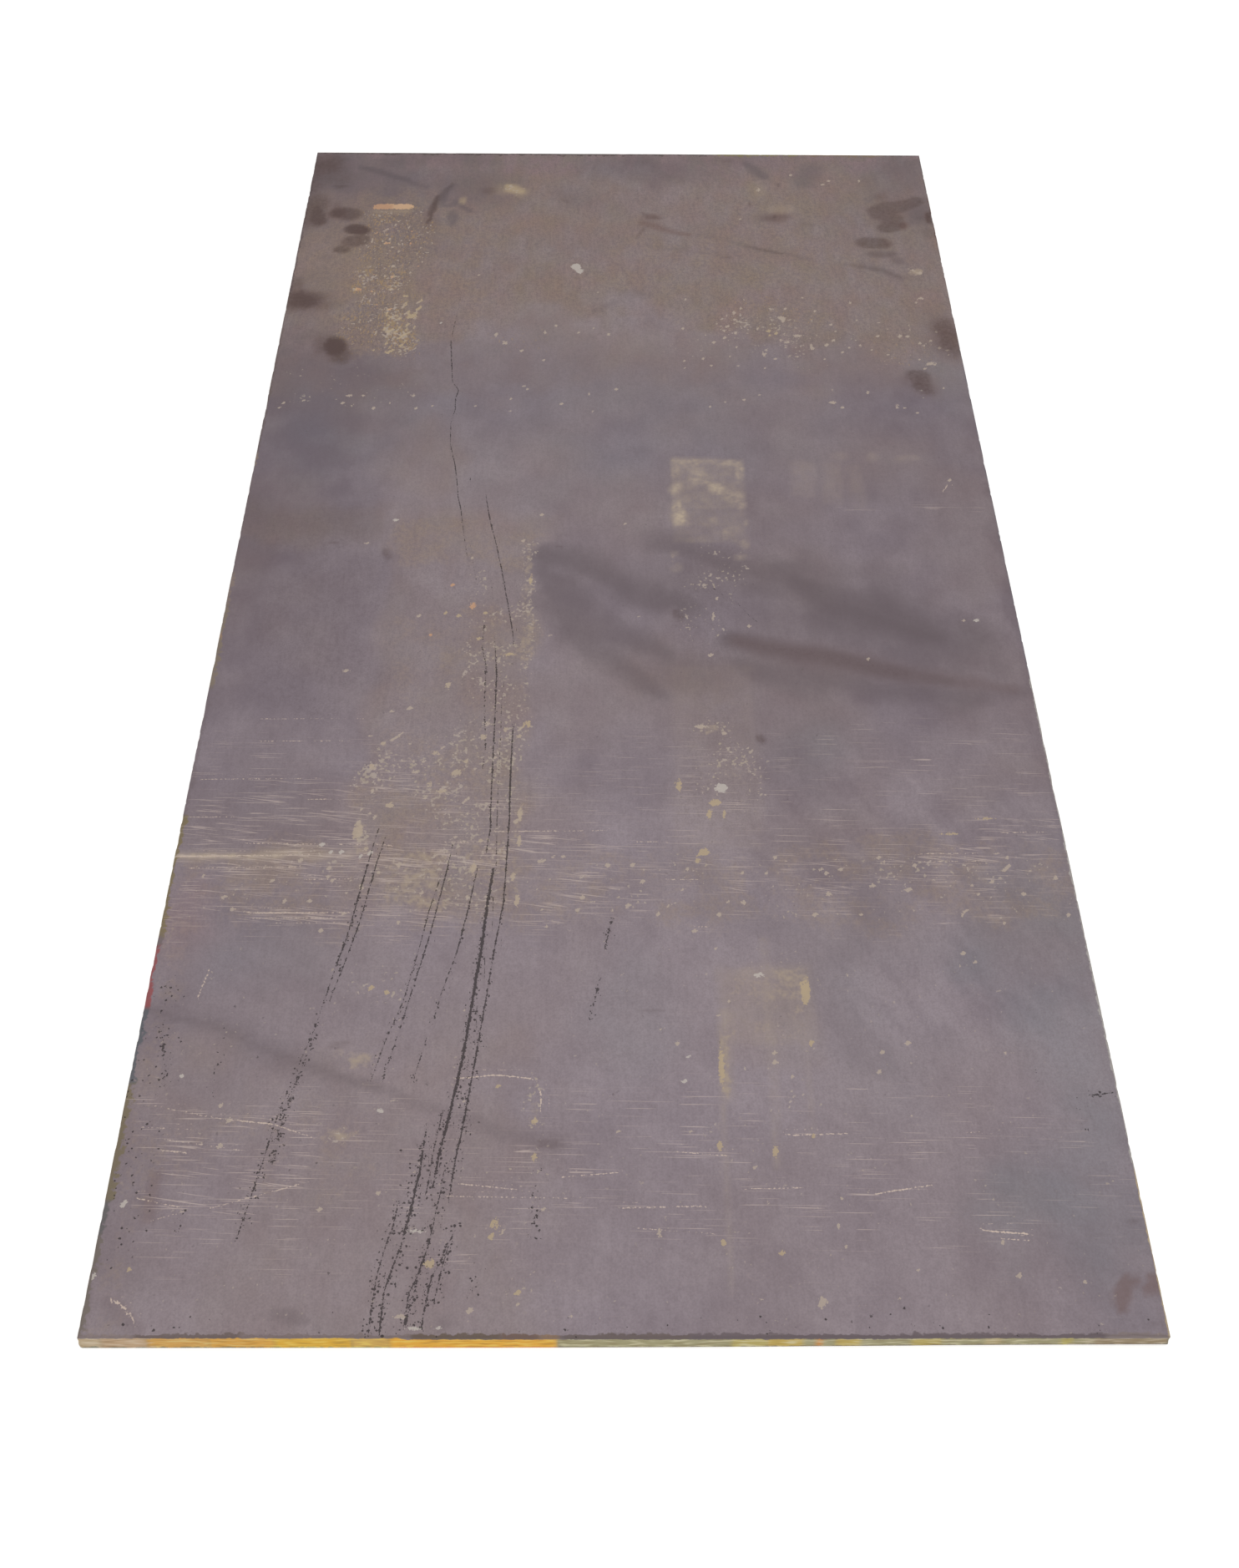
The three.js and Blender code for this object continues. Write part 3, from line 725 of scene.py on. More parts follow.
orange_flecks = [(-373, 837, 17, 7.5), (-187, -60, 4, 6), (-212, -21, 3, 3), (-239, -110, 3, 3)]


def scattered(count, x0, x1, y0, y1, half_wide, half_long, seed):
    """Flecks at random in a rectangle, each from 0.6 to 1.3 times as wide and as long as given."""
    draw = np.random.default_rng(seed)
    x, y = draw.uniform(x0, x1, count), draw.uniform(y0, y1, count)
    size = draw.uniform(0.6, 1.3, (2, count))
    return list(zip(x, y, half_wide * size[0], half_long * size[1]))


flecks = [
    (WHITE, white_flecks),
    (CREAM, cream_flecks),
    (MUSTARD, [(x, y, MUSTARD_SHARE * wide, MUSTARD_SHARE * long) for x, y, wide, long in mustard_flecks]),
    (PEACH, peach_flecks),
    (TAN, tan_flecks),
    (ORANGE, orange_flecks),
    (MUSTARD, scattered(36, -350, -296, 455, 600, 1.6, 2.6, 31)),
    (CREAM, scattered(40, -400, -300, 500, 800, 1.6, 3.0, 32)),
    (ORANGE, scattered(16, -400, -300, 560, 780, 1.4, 2.4, 33)),
    (CREAM, scattered(40, 90, 480, 420, 600, 1.8, 2.2, 34)),
    (CREAM, scattered(14, -480, 480, 325, 385, 2.0, 2.2, 35)),
    (CREAM, scattered(14, 135, 290, 440, 570, 2.2, 2.6, 39)),
    (CREAM, scattered(50, -480, 490, -545, -445, 2.2, 2.2, 36)),
    (CREAM, scattered(34, -300, -120, -450, -230, 2.2, 2.2, 37)),
    (CREAM, scattered(30, -260, 480, -990, -560, 1.9, 1.9, 38)),
]


def fleck_field(groups):
    """For every point of the top: the tallest fleck's height over its rim, where each is a cone
    that reaches 0 on an ellipse, or on a rectangle if it is long, and that fleck's kind."""
    height = np.full((ROWS + 1, COLUMNS + 1), NO_FLECK)
    kind = np.zeros_like(height)
    for hue, group in groups:
        for x, y, half_wide, half_long in group:
            column = (x + HALF_WIDTH - BORDER) / PITCH_X
            row = (y + HALF_LENGTH - BORDER) / PITCH_Y
            if min(half_wide, half_long) < SMALL:
                column, row = round(column), round(row)
            reach_x, reach_y = int(half_wide / PITCH_X) + 3, int(half_long / PITCH_Y) + 3
            i = np.arange(max(int(column) - reach_x, 0), min(int(column) + reach_x, COLUMNS) + 1)
            j = np.arange(max(int(row) - reach_y, 0), min(int(row) + reach_y, ROWS) + 1)
            u = (i[None, :] - column) * PITCH_X / half_wide
            v = (j[:, None] - row) * PITCH_Y / half_long
            square = max(half_wide, half_long) > BAR * min(half_wide, half_long)
            out = np.maximum(abs(u), abs(v)) if square else np.hypot(u, v)
            cone = (1 - out) * min(half_wide, half_long)
            here = np.ix_(j, i)
            taller = cone > height[here]
            height[here] = np.where(taller, cone, height[here])
            kind[here] = np.where(taller, hue, kind[here])
    rest = len(X) - height.size
    return np.append(height, np.full(rest, NO_FLECK)), np.append(kind, np.zeros(rest))


films["fleck"], films["fleck_kind"] = fleck_field(flecks)

# ---- Drag marks and scrapes -----------------------------------------------------------------------
# Dark pitted tracks, pressed in as the plate was dragged over grit, and pale scrapes across the
# plate from slings and other plates. Each point holds its distance from a mark's own line, so that
# a mark is drawn far narrower than the grid.

# Half width, then the line's points as x, y and how heavy the mark is there.
drag_marks = [
    (1.5, [(-285, 585, .4), (-285, 565, .4)]),
    (1.3, [(-238, 606, .45), (-241, 560, .45), (-246, 500, .6)]),
    (1.7, [(-247, 487, .7), (-239, 392, .6), (-229, 372, .7), (-233, 352, .7), (-231, 330, .7),
           (-235, 312, .6)]),
    (1.5, [(-236, 302, .6), (-234, 255, .6), (-225, 212, .7), (-220, 175, .6), (-217, 145, .6),
           (-212, 122, .8), (-205, 70, .5), (-197, 20, .5)]),
    (1.4, [(-203, 185, .5), (-201, 168, .5)]),
    (1.6, [(-180, 148, .6), (-172, 98, .7), (-163, 58, .7), (-153, 5, .7), (-143, -55, .7),
           (-135, -105, .7), (-133, -125, .6)]),
    (1.4, [(-142, -182, .5), (-144, -215, .5), (-143, -282, .5), (-142, -398, .6), (-140, -468, .6)]),
    (1.4, [(-197, 58, .4), (-187, -2, .5), (-183, -22, .4)]),
    (1.4, [(-168, 5, .4), (-165, -22, .5), (-162, -48, .5)]),
    (3.0, [(-171, -90, .5), (-172, -128, .5), (-165, -165, .6), (-165, -215, .5), (-160, -292, .5),
           (-162, -325, .4)]),
    (1.8, [(-157, -115, .5), (-152, -175, .7), (-151, -245, .7), (-150, -365, .7), (-149, -415, .7),
           (-152, -448, .6)]),
    (1.9, [(-129, -258, .7), (-129, -320, .8), (-129, -348, 1), (-128, -402, .8), (-129, -468, .8),
           (-130, -515, .8), (-138, -582, .8), (-141, -615, .8), (-150, -702, .9), (-160, -792, 1),
           (-164, -815, 1), (-166, -835, .9), (-169, -870, .6)]),
    (1.9, [(-174, -820, .6), (-177, -856, .8), (-181, -883, .9), (-184, -905, .9), (-189, -925, 1),
           (-195, -945, .9), (-200, -957, .85), (-202, -990, .8)]),
    (5.5, [(-141, -615, .35), (-150, -702, .4), (-160, -792, .4), (-181, -883, .6), (-202, -990, .7)]),
    (2.6, [(-143, -468, .9), (-148, -525, 1.1), (-151, -575, 1.2), (-155, -615, 1.2), (-163, -702, 1.2),
           (-172, -765, 1.1), (-180, -810, 1), (-185, -852, .8)]),
    (1.6, [(-180, -768, .8), (-187, -815, .8), (-189, -845, .8), (-193, -868, .7)]),
    (1.6, [(-160, -465, .6), (-168, -525, .8), (-177, -580, .8), (-190, -630, .7), (-197, -668, .7)]),
    (1.5, [(-202, -685, .7), (-212, -733, .7)]),
    (1.8, [(-190, -438, .6), (-195, -478, .8), (-208, -562, .8), (-218, -612, .75), (-229, -668, .7),
           (-243, -735, .7)]),
    (1.5, [(-200, -478, .6), (-210, -525, .7), (-218, -578, .7), (-229, -640, .7), (-245, -692, .8),
           (-254, -732, .7)]),
    (2.0, [(-275, -415, .5), (-281, -455, .8), (-296, -562, .8), (-305, -605, .7), (-318, -675, .7),
           (-334, -735, .6), (-345, -780, .65), (-352, -825, .8), (-361, -875, .8), (-366, -902, .6)]),
    (9.5, [(-312, -655, .46), (-318, -690, .56), (-330, -735, .62), (-338, -772, .64),
           (-344, -830, .54)]),
    (1.6, [(-265, -422, .5), (-272, -458, .7), (-284, -542, .8), (-294, -590, .7), (-306, -640, .7)]),
    (2.3, [(-195, -785, .7), (-198, -832, 1), (-201, -849, 1.1), (-204, -874, 1.1), (-210, -903, .9)]),
    (2.1, [(-217, -870, .6), (-220, -891, .9), (-225, -910, .85), (-230, -933, .8), (-232, -952, .8),
           (-234, -996, .75)]),
    (2.0, [(-208, -898, .6), (-212, -915, .8), (-218, -935, .9), (-223, -955, .9), (-224, -995, .8)]),
    (1.9, [(-161, -898, .7), (-168, -910, .9), (-173, -928, .9), (-180, -940, .9), (-183, -960, .9),
           (-186, -990, .8)]),
    (1.6, [(-165, -905, .7), (-171, -932, .8), (-175, -957, .8), (-177, -972, .6)]),
    (1.4, [(-208, -898, .5), (-192, -893, .6), (-156, -892, .5)]),
    (1.5, [(-172, -852, .5), (-180, -885, .5)]), (1.5, [(-87, -828, .4), (-87, -907, .4)]),
    (1.5, [(-138, -935, .5), (-142, -955, .5)]), (1.5, [(-422, -872, .5), (-422, -897, .5)]),
    (5.0, [(-12, -536, .6), (-16, -558, .7), (-20, -577, .6)]),
    (5.0, [(-24, -610, .5), (-30, -640, .6), (-36, -668, .5)]),
    (1.3, [(420, -712, .4), (420, -740, .4)]), (1.3, [(456, -748, .5), (456, -792, .4)]),
    (1.6, [(470, -751, .8), (492, -747, .8)]),
    (1.5, [(90, 2, .4), (128, -38, .5), (148, -55, .5), (162, -78, .5), (184, -100, .3)]),
    (6.0, [(-480, -622, .55), (-476, -650, .4), (-472, -690, .7), (-464, -715, .5), (-462, -738, .6)]),
    (5.0, [(-410, -636, .3), (-412, -755, .4)]), (9.0, [(-215, -800, .2), (-190, -985, .35)]),
]
scrapes = [
    (1.2, [(-498, -454, .9), (-345, -451, .6)]), (1.0, [(-405, -530, .9), (-298, -529, .7)]),
    (0.8, [(-400, -537, .6), (-310, -536, .5)]), (0.8, [(-380, -543, .5), (-300, -542, .4)]),
    (1.0, [(-485, -343, .7), (-348, -341, .4)]), (1.0, [(-425, -285, .6), (-318, -284, .4)]),
    (0.9, [(-430, -250, .5), (-300, -249, .3)]), (1.0, [(-355, -372, .7), (-325, -372, .6)]),
    (0.9, [(-490, -398, .6), (-440, -398, .5)]), (1.0, [(-142, -418, .8), (-18, -416, .5)]),
    (1.0, [(-198, -433, .7), (-152, -433, .6)]), (0.9, [(-352, -485, .7), (-292, -484, .6)]),
    (1.0, [(332, -448, .6), (395, -447, .6)]), (0.9, [(335, -459, .6), (400, -458, .5)]),
    (1.0, [(428, -418, .7), (478, -417, .5)]), (1.0, [(48, -484, .6), (85, -484, .6)]),
    (0.9, [(15, -432, .6), (48, -432, .5)]), (0.9, [(78, -547, .6), (95, -547, .6)]),
    (1.1, [(-468, -763, .5), (-402, -777, .6), (-348, -783, .9), (-308, -797, .5)]),
    (0.9, [(-473, -787, .6), (-430, -789, .5)]), (1.1, [(-452, -812, .8), (-428, -814, .8)]),
    (0.9, [(-450, -800, .6), (-372, -812, .5)]), (1.0, [(-468, -862, .7), (-422, -872, .6)]),
    (0.9, [(-450, -885, .6), (-418, -875, .6)]), (1.0, [(-398, -873, .6), (-305, -845, .6)]),
    (1.0, [(-158, -847, .7), (-102, -853, .6)]), (0.9, [(-168, -860, .6), (-52, -862, .5)]),
    (1.0, [(-62, -840, .6), (-5, -835, .6)]), (0.9, [(118, -852, .6), (175, -851, .6)]),
    (1.1, [(243, -857, .8), (298, -848, .6)]), (1.2, [(342, -895, .9), (382, -898, .9)]),
    (0.9, [(358, -903, .6), (385, -905, .6)]), (1.0, [(50, -813, .6), (98, -817, .6)]),
    (1.0, [(-5, -872, .6), (75, -870, .6)]), (0.9, [(5, -892, .5), (85, -898, .5)]),
    (1.1, [(162, -795, .7), (222, -793, .6)]), (1.0, [(342, -792, .6), (353, -791, .6)]),
    (1.3, [(-437, -605, .7), (-444, -638, .7)]),
    (2.4, [(-474, -962, .6), (-462, -968, .7), (-449, -982, .6)]),
    (1.2, [(-168, -732, .8), (-128, -728, .8), (-93, -732, .8)]),
    (1.3, [(-83, -748, .8), (-83, -768, .8)]), (1.2, [(442, 175, .8), (435, 162, .8)]),
    (1.4, [(-430, -435, .5), (-260, -437, .5)]), (1.0, [(-480, -470, .5), (-360, -468, .5)]),
]
DRAG_SPREAD = 1.25  # how much wider a mark is drawn, as its ragged sides take some of it away
SCRAPE_SPREAD = 1.4
drag_marks = [(DRAG_SPREAD * half_wide, line) for half_wide, line in drag_marks]
scrapes = [(SCRAPE_SPREAD * half_wide, line) for half_wide, line in scrapes]
REACH = 9.0  # how far from its line a mark is held
PAST_END = 3  # and how far past an end of the line
FADE = 3.5  # over which it fades out, at the far end of its reach
CLEAR = 2 * REACH + 3  # marks held together stay this far apart
COMPARED = 5  # the pitch of the points that are compared for that


def in_layers(marks):
    """Sorts marks into layers. Two marks share a layer only where all of their points, taken
    every few millimetres, stay clear of each other."""
    layers = []
    for half_wide, line in marks:
        bends = np.array(line, float)
        steps = [int(np.hypot(*(b - a)[:2]) / COMPARED) + 2 for a, b in zip(bends, bends[1:])]
        dotted = np.concatenate([a + (b - a) * np.linspace(0, 1, count)[:, None]
                                 for a, b, count in zip(bends, bends[1:], steps)])
        for layer in layers:
            gaps = [np.hypot(dotted[:, None, 0] - other[:, 0], dotted[:, None, 1] - other[:, 1]).min()
                    for _, _, other in layer]
            if min(gaps) > CLEAR:
                layer.append((half_wide, bends, dotted))
                break
        else:
            layers.append([(half_wide, bends, dotted)])
    return layers


def mark_field(layer):
    """For every point: its distance from the nearest mark's line, positive on the line's right and
    negative on its left, how heavy that mark is there, and the mark's half width."""
    field = np.zeros((len(X), 3), np.float32)
    field[:, 0], field[:, 2] = REACH, 1
    for half_wide, bends, _ in layer:
        low, high = bends.min(0) - REACH, bends.max(0) + REACH
        inside = (X > low[0]) & (X < high[0]) & (Y > low[1]) & (Y < high[1])
        near = np.flatnonzero(inside & (TOP_ONLY > 0))
        best = np.full(len(near), REACH)
        for (x0, y0, weight0), (x1, y1, weight1) in zip(bends, bends[1:]):
            dx, dy = x1 - x0, y1 - y0
            px, py = X[near] - x0, Y[near] - y0
            t = (px * dx + py * dy) / (dx * dx + dy * dy)
            held = np.clip(t, 0, 1)
            away = np.hypot(px - held * dx, py - held * dy)
            closer = away < best
            best = np.where(closer, away, best)
            here = near[closer]
            run = math.hypot(dx, dy)
            over = np.maximum(np.maximum(-t, t - 1) * run, 0)[closer]
            fade = 1 - smooth(away[closer], REACH - FADE, REACH)
            side = np.sign(px * dy - py * dx)[closer]
            field[here, 0] = side * away[closer]
            field[here, 1] = (weight0 + (weight1 - weight0) * held[closer]) * fade * (over < PAST_END)
            field[here, 2] = half_wide
    return field


drag_layers = [mark_field(layer) for layer in in_layers(drag_marks)]
scrape_layers = [mark_field(layer) for layer in in_layers(scrapes)]

# How thick the fine scrapes and the small pits lie.
films["scuff"] = heaped(
    *each(panel, [
        (0.46, -500, 20, -548, -420, 14), (0.34, 20, 500, -520, -420, 14),
        (0.50, -500, -120, -548, -340, 30), (0.20, -500, 500, -560, -270, 30),
        (0.85, -500, -120, -470, -440, 8), (0.80, -420, -290, -548, -522, 6),
        (0.20, -500, 500, -910, -750, 40), (0.46, -480, -300, -900, -755, 16),
        (0.05, -500, 500, -1000, -250, 50), (0.26, 290, 480, 122, 138, 6),
        (0.66, 320, 410, -465, -435, 8), (0.56, 400, 490, -430, -392, 8),
    ]),
) * (0.3 + 1.0 * clouds(9, 13, 2, long=9, turn=90))
films["pits"] = heaped(
    *each(panel, [
        (0.30, -500, -455, -930, -600, 10), (0.03, -500, -100, -1000, -560, 60),
        (0.14, -500, 500, -1000, -975, 8), (0.02, -500, 500, -1000, 600, 200),
    ]),
)

# ---- Rims and sheared faces -----------------------------------------------------------------------
# Rust and old marking paint on the borders, which differ from side to side, with a painted highlight
# along the right border's rollover and painted shade on the front one. The front face is amber on its
# left half, where it was painted, and olive-grey rust on its right, both painted paler than they are, as
# painted light on the face, over a darker foot that is partly painted shade.

FRONT, RIGHT, BACK, LEFT = range(4)
to_side = np.stack([HALF_LENGTH + Y, HALF_WIDTH - X, HALF_LENGTH - Y, HALF_WIDTH + X])
side = to_side.argmin(0)
along_side = np.where((side == FRONT) | (side == BACK), X, Y)


def linear(hex_colour):
    """The linear colour of an sRGB hex value, with alpha 1."""
    parts = np.array([int(hex_colour[i:i + 2], 16) for i in (1, 3, 5)]) / 255
    return (*np.where(parts <= 0.04045, parts / 12.92, ((parts + 0.055) / 1.055) ** 2.4), 1.0)


def painted(bands, plain):
    """A colour at every point, with its strength as alpha: each band covers its stretch of a side
    over the plain colour, and blends out over a few millimetres."""
    colour = np.tile(np.array([*linear(plain)[:3], 0.5], np.float32), (len(X), 1))
    for which, start, stop, hex_colour, strength in bands:
        here = (side == which) * smooth(along_side, start - 3, start + 3)
        here = (here * (1 - smooth(along_side, stop - 3, stop + 3)))[:, None]
        colour += (np.array([*linear(hex_colour)[:3], strength]) - colour) * here
    return colour


rim_paint_and_light = painted([
    (LEFT, 600, 1000, "#54474b", .6), (LEFT, 235, 600, "#62544f", .5), (LEFT, 208, 235, "#8f7c66", .5),
    (LEFT, 0, 208, "#6e6061", .4), (LEFT, -60, 0, "#8a796c", .6), (LEFT, -200, -60, "#84765e", .6),
    (LEFT, -116, -108, "#a5855a", .6), (LEFT, -395, -200, "#6e6164", .4), (LEFT, -560, -395, "#7d6f4c", .8),
    (LEFT, -650, -572, "#96494a", .8), (LEFT, -738, -650, "#535a60", .75),
    (LEFT, -865, -738, "#766a4d", .75), (LEFT, -900, -865, "#4f5450", .6),
    (LEFT, -1000, -900, "#6b6353", .6),
    # On the right, the pale line from the near corner to y -180 is a painted highlight, where the rollover
    # catches the light; at its near end it is also tan rust.
    (RIGHT, -1000, -830, "#b3a184", .95), (RIGHT, -830, -180, "#aaa5a0", .85),
    (RIGHT, -180, 500, "#6b6870", .4), (RIGHT, 500, 740, "#7a6a66", .5), (RIGHT, 740, 880, "#5a4038", .7),
    (BACK, -500, 155, "#4d4340", .7), (BACK, 155, 300, "#7f764a", .8), (BACK, 300, 440, "#7c6950", .7),
    (BACK, 440, 500, "#5a4a45", .7),
    # On the front, the dark mauve from x -56 to 440 is partly painted shade on the rollover, which turns
    # away from the lamp, and partly a thin dark line of the rollover's own.
    (FRONT, -500, -446, "#7d6c5c", .3), (FRONT, -446, -350, "#5b4c42", .6),
    (FRONT, -350, -195, "#6a5a50", .4), (FRONT, -195, -113, "#5a4a36", .7),
    (FRONT, -113, -78, "#6c5446", .75), (FRONT, -78, -60, "#8a6a40", .6), (FRONT, -56, 60, "#685b57", .8),
    (FRONT, 60, 440, "#665a5d", .8), (FRONT, 440, 500, "#7d6f66", .5),
], "#5d5350")
# The front bands are the face's amber paint and olive-grey rust, made paler than they are: painted light,
# for the light that falls on the face. The other sides keep their own colours.
face_paint_and_light = painted([
    (FRONT, -500, -478, "#cfb998", 1), (FRONT, -478, -436, "#d3b593", 1), (FRONT, -436, -380, "#e6b465", 1),
    (FRONT, -380, -320, "#edb659", 1), (FRONT, -320, -250, "#f1c14c", 1), (FRONT, -250, -215, "#e0b866", 1),
    (FRONT, -215, -62, "#f7bd4d", 1), (FRONT, -62, 500, "#b4ad87", 1), (FRONT, 98, 130, "#cfc07a", 1),
    (FRONT, 130, 163, "#d6bb68", 1), (FRONT, 175, 181, "#dea05c", 1), (FRONT, 193, 216, "#d6bf70", 1),
    (FRONT, 262, 290, "#cdbb74", 1), (FRONT, 330, 345, "#c6b58a", 1), (FRONT, 400, 410, "#d0c47a", 1),
    (FRONT, 430, 500, "#ad9b7e", 1),
    (LEFT, -1000, -640, "#8f8068", 1), (LEFT, -640, -560, "#8e4a46", 1), (LEFT, -560, -380, "#9b8d5c", 1),
    (LEFT, -380, 200, "#7a6a58", 1), (LEFT, 200, 1000, "#6f6258", 1),
    (RIGHT, -1000, -300, "#8d8670", 1), (RIGHT, -300, 300, "#7f7668", 1), (RIGHT, 300, 1000, "#776a5e", 1),
    (BACK, -500, 500, "#857a66", 1), (BACK, 100, 320, "#a8924f", 1),
], "#857a66")
# The pale streaks on the front face are made paler than they are too, as painted light.
streak_paint_and_light = painted([
    (FRONT, -500, -430, "#ecdcc4", 1), (FRONT, -430, -330, "#f2e09a", 1), (FRONT, -330, -62, "#ffe57a", 1),
    (FRONT, -62, 380, "#efe8c4", 1), (FRONT, 380, 500, "#e6d6bf", 1),
], "#b3a78c")
# The foot of each face is a darker line, partly painted shade where the face meets the floor and partly the
# burr's own colour.
foot_colour_and_shade = painted([
    (FRONT, -500, -330, "#78806e", 1), (FRONT, -330, -215, "#a8a878", 1), (FRONT, -215, -62, "#f0a060", 1),
    (FRONT, -62, 500, "#94887a", 1),
], "#77756c")
# How far in from the outer side the rim reaches.
left_reach = 12.0 - 4 * smooth(Y, -40, 40) + 6 * panel(-600, -400, -860, -735, 10)
uneven = 0.72 + 0.6 * clouds(16, 43, 2)
films["rim_reach"] = np.choose(side, (7.4, 5.5, 14.0, left_reach)) * uneven
# How far down the edge the colour of the sheared face begins.
films["face_from"] = np.where(side == FRONT, 2.3 + 2.9 * smooth(X, -206, -196), 5.2)

for name, strength in films.items():
    held = strength if name in ("rim_reach", "face_from", "fleck", "fleck_kind") else strength * TOP_ONLY
    mesh.attributes.new(name, "FLOAT", "POINT").data.foreach_set("value", held.astype(np.float32))
for name, layers in (("drag", drag_layers), ("scrape", scrape_layers)):
    for number, field in enumerate(layers):
        held = mesh.attributes.new(f"{name}_{number}", "FLOAT_VECTOR", "POINT")
        held.data.foreach_set("vector", field.ravel())
for name, colour in (("rim_paint_and_light", rim_paint_and_light), ("face_paint_and_light", face_paint_and_light),
                     ("streak_paint_and_light", streak_paint_and_light), ("foot_colour_and_shade", foot_colour_and_shade)):
    held = mesh.attributes.new(name, "FLOAT_COLOR", "POINT")
    held.data.foreach_set("color", colour.astype(np.float32).ravel())

# ---- Mill scale -----------------------------------------------------------------------------------
# Iron oxide that grows on the plate as it is rolled at red heat: a thin, hard, mauve-grey skin with
# a dull half-metal gloss. Over it lie dust, rust, oil, flecks and scrapes, each as a coat of its own.

material = bpy.data.materials.new("mill_scale")
material.use_nodes = True
tree = material.node_tree
tree.nodes.clear()


def add(kind, sockets=None, out=0, **settings):
    """Adds one node, gives it its settings, and sets or links its inputs. Returns one output."""
    made = tree.nodes.new("ShaderNode" + kind)
    for name, value in settings.items():
        setattr(made, name, value)
    for name, value in (sockets or {}).items():
        if isinstance(value, bpy.types.NodeSocket):
            tree.links.new(value, made.inputs[name])
        else:
            made.inputs[name].default_value = value
    return made.outputs if out is None else made.outputs[out]


PIT_CELL = 2.6  # the pitch of the pits that grit leaves
PIT_HALF_WIDTH = 0.95
FINE_RELIEF = 0.012  # how far the finest grain of the scale stands up
FLECK_RELIEF = 0.039  # and how far a fleck does

place = add("VectorMath", {0: add("TexCoord", out="Object"), "Scale": 1 / MM}, operation="SCALE")


def grain(size, detail=2.0, stretch=(1, 1, 1), turn=0.0, shift=0.0, swirl=0.0):
    """A cloudy pattern from about 0 to 1, whose lumps are size millimetres across, or as many
    times longer along x, y and z as stretch says. Swirl bends them out of their rows."""
    at = add("VectorRotate", {"Vector": place, "Angle": -math.radians(turn)}, rotation_type="Z_AXIS")
    scale = tuple(1 / (size * s) for s in stretch)
    at = add("Mapping", {"Vector": at, "Location": (shift, shift * 1.7, 0), "Scale": scale})
    cloud = add("TexNoise", {"Vector": at, "Scale": 1.0, "Detail": detail, "Roughness": 0.55,
                             "Distortion": swirl})
    return add("MapRange", {"Value": cloud, "From Min": 0.25, "From Max": 0.75})


def beats(strength, pattern, blur=0.12, share=1.0):
    """1 where a strength is over a share of a pattern, 0 where it is under, with a short ramp
    between."""
    over = add("Math", {0: pattern, 1: -share, 2: strength}, operation="MULTIPLY_ADD")
    return add("MapRange", {"Value": over, "From Min": 0.0, "From Max": blur},
               interpolation_type="SMOOTHSTEP")


def marks(name, count):
    """The heaviest of some layers of marks, twice: as a ridge along each line, 1 on it and 0 at
    its width, and as a halo that reaches four times as far."""
    ridges, nearest = 0.0, 0.0
    for number in range(count):
        held = add("Attribute", out="Vector", attribute_name=f"{name}_{number}")
        parts = add("SeparateXYZ", {0: held}, None)
        away = add("Math", {0: parts[0]}, operation="ABSOLUTE")
        share = add("Math", {0: away, 1: parts[2]}, operation="DIVIDE")
        ridge = add("Math", {0: 1.0, 1: share}, operation="SUBTRACT", use_clamp=True)
        heavy = add("Math", {0: ridge, 1: parts[1]}, operation="MULTIPLY")
        ridges = add("Math", {0: ridges, 1: heavy}, operation="MAXIMUM")
        halo = add("Math", {0: share, 1: -0.34, 2: 1.25}, operation="MULTIPLY_ADD", use_clamp=True)
        strewn = add("Math", {0: halo, 1: parts[1]}, operation="MULTIPLY")
        nearest = add("Math", {0: nearest, 1: strewn}, operation="MAXIMUM")
    return ridges, nearest


def dots(cell, half_wide, strength):
    """Ragged dots at random, at most one to a cell, each there only where the strength beats its
    own random number."""
    at = add("VectorMath", {0: place, "Scale": 1 / cell}, operation="SCALE")
    bent = add("VectorMath", {0: add("CombineXYZ", {0: fine, 1: spots}), "Scale": 0.35}, operation="SCALE")
    at = add("VectorMath", {0: at, 1: bent}, operation="ADD")
    cells = add("TexVoronoi", {"Vector": at, "Scale": 1.0}, None)
    chance = add("SeparateXYZ", {0: cells["Color"]}, None)
    there = beats(strength, chance[0], 0.02)
    unit = half_wide / cell
    larger = add("Math", {0: chance[1], 1: chance[1]}, operation="MULTIPLY")
    reach = add("Math", {0: larger, 1: 1.3 * unit, 2: 0.4 * unit}, operation="MULTIPLY_ADD")
    ragged = add("Math", {0: fine, 1: 0.55}, operation="ADD")
    reach = add("Math", {0: reach, 1: ragged}, operation="MULTIPLY")
    inside = beats(reach, cells["Distance"], 0.3 * unit)
    return add("Math", {0: there, 1: inside}, operation="MULTIPLY")


film = {name: add("Attribute", out="Fac", attribute_name=name) for name in films}

# Where a place is: in millimetres, and how far in from the nearest side.
x, y, z = add("SeparateXYZ", {0: place}, None)
across = add("Math", {0: x}, operation="ABSOLUTE")
along = add("Math", {0: y}, operation="ABSOLUTE")
from_sides = add("Math", {0: HALF_WIDTH, 1: across}, operation="SUBTRACT")
from_ends = add("Math", {0: HALF_LENGTH, 1: along}, operation="SUBTRACT")
inset = add("Math", {0: from_sides, 1: from_ends}, operation="MINIMUM")

# The grains that nearly everything else is broken up by, from fine to coarse.
fine = grain(2.15, 1.0, turn=27)
spots = grain(6.5, 2.0, turn=-36, shift=40)
blots = grain(15, 2.0, turn=20, shift=90)
rolled = grain(4.2, 2.0, stretch=(1, 6, 1), turn=2, shift=310, swirl=0.8)  # streaks from the rolls

# Hairline scrapes across the plate, some level and some at a slant.
flat_scrape = grain(1.1, 0.0, stretch=(50, 1, 1), turn=-1)
slant_scrape = grain(1.2, 0.0, stretch=(34, 1, 1), turn=-8, shift=70)
slant_scrape = add("Math", {0: slant_scrape, 1: 0.93}, operation="MULTIPLY")
hairline = add("Math", {0: flat_scrape, 1: slant_scrape}, operation="MAXIMUM")
hairline = add("Math", {0: 1.0, 1: hairline}, operation="SUBTRACT")
scuff = beats(film["scuff"], hairline, 0.22, 2.9)

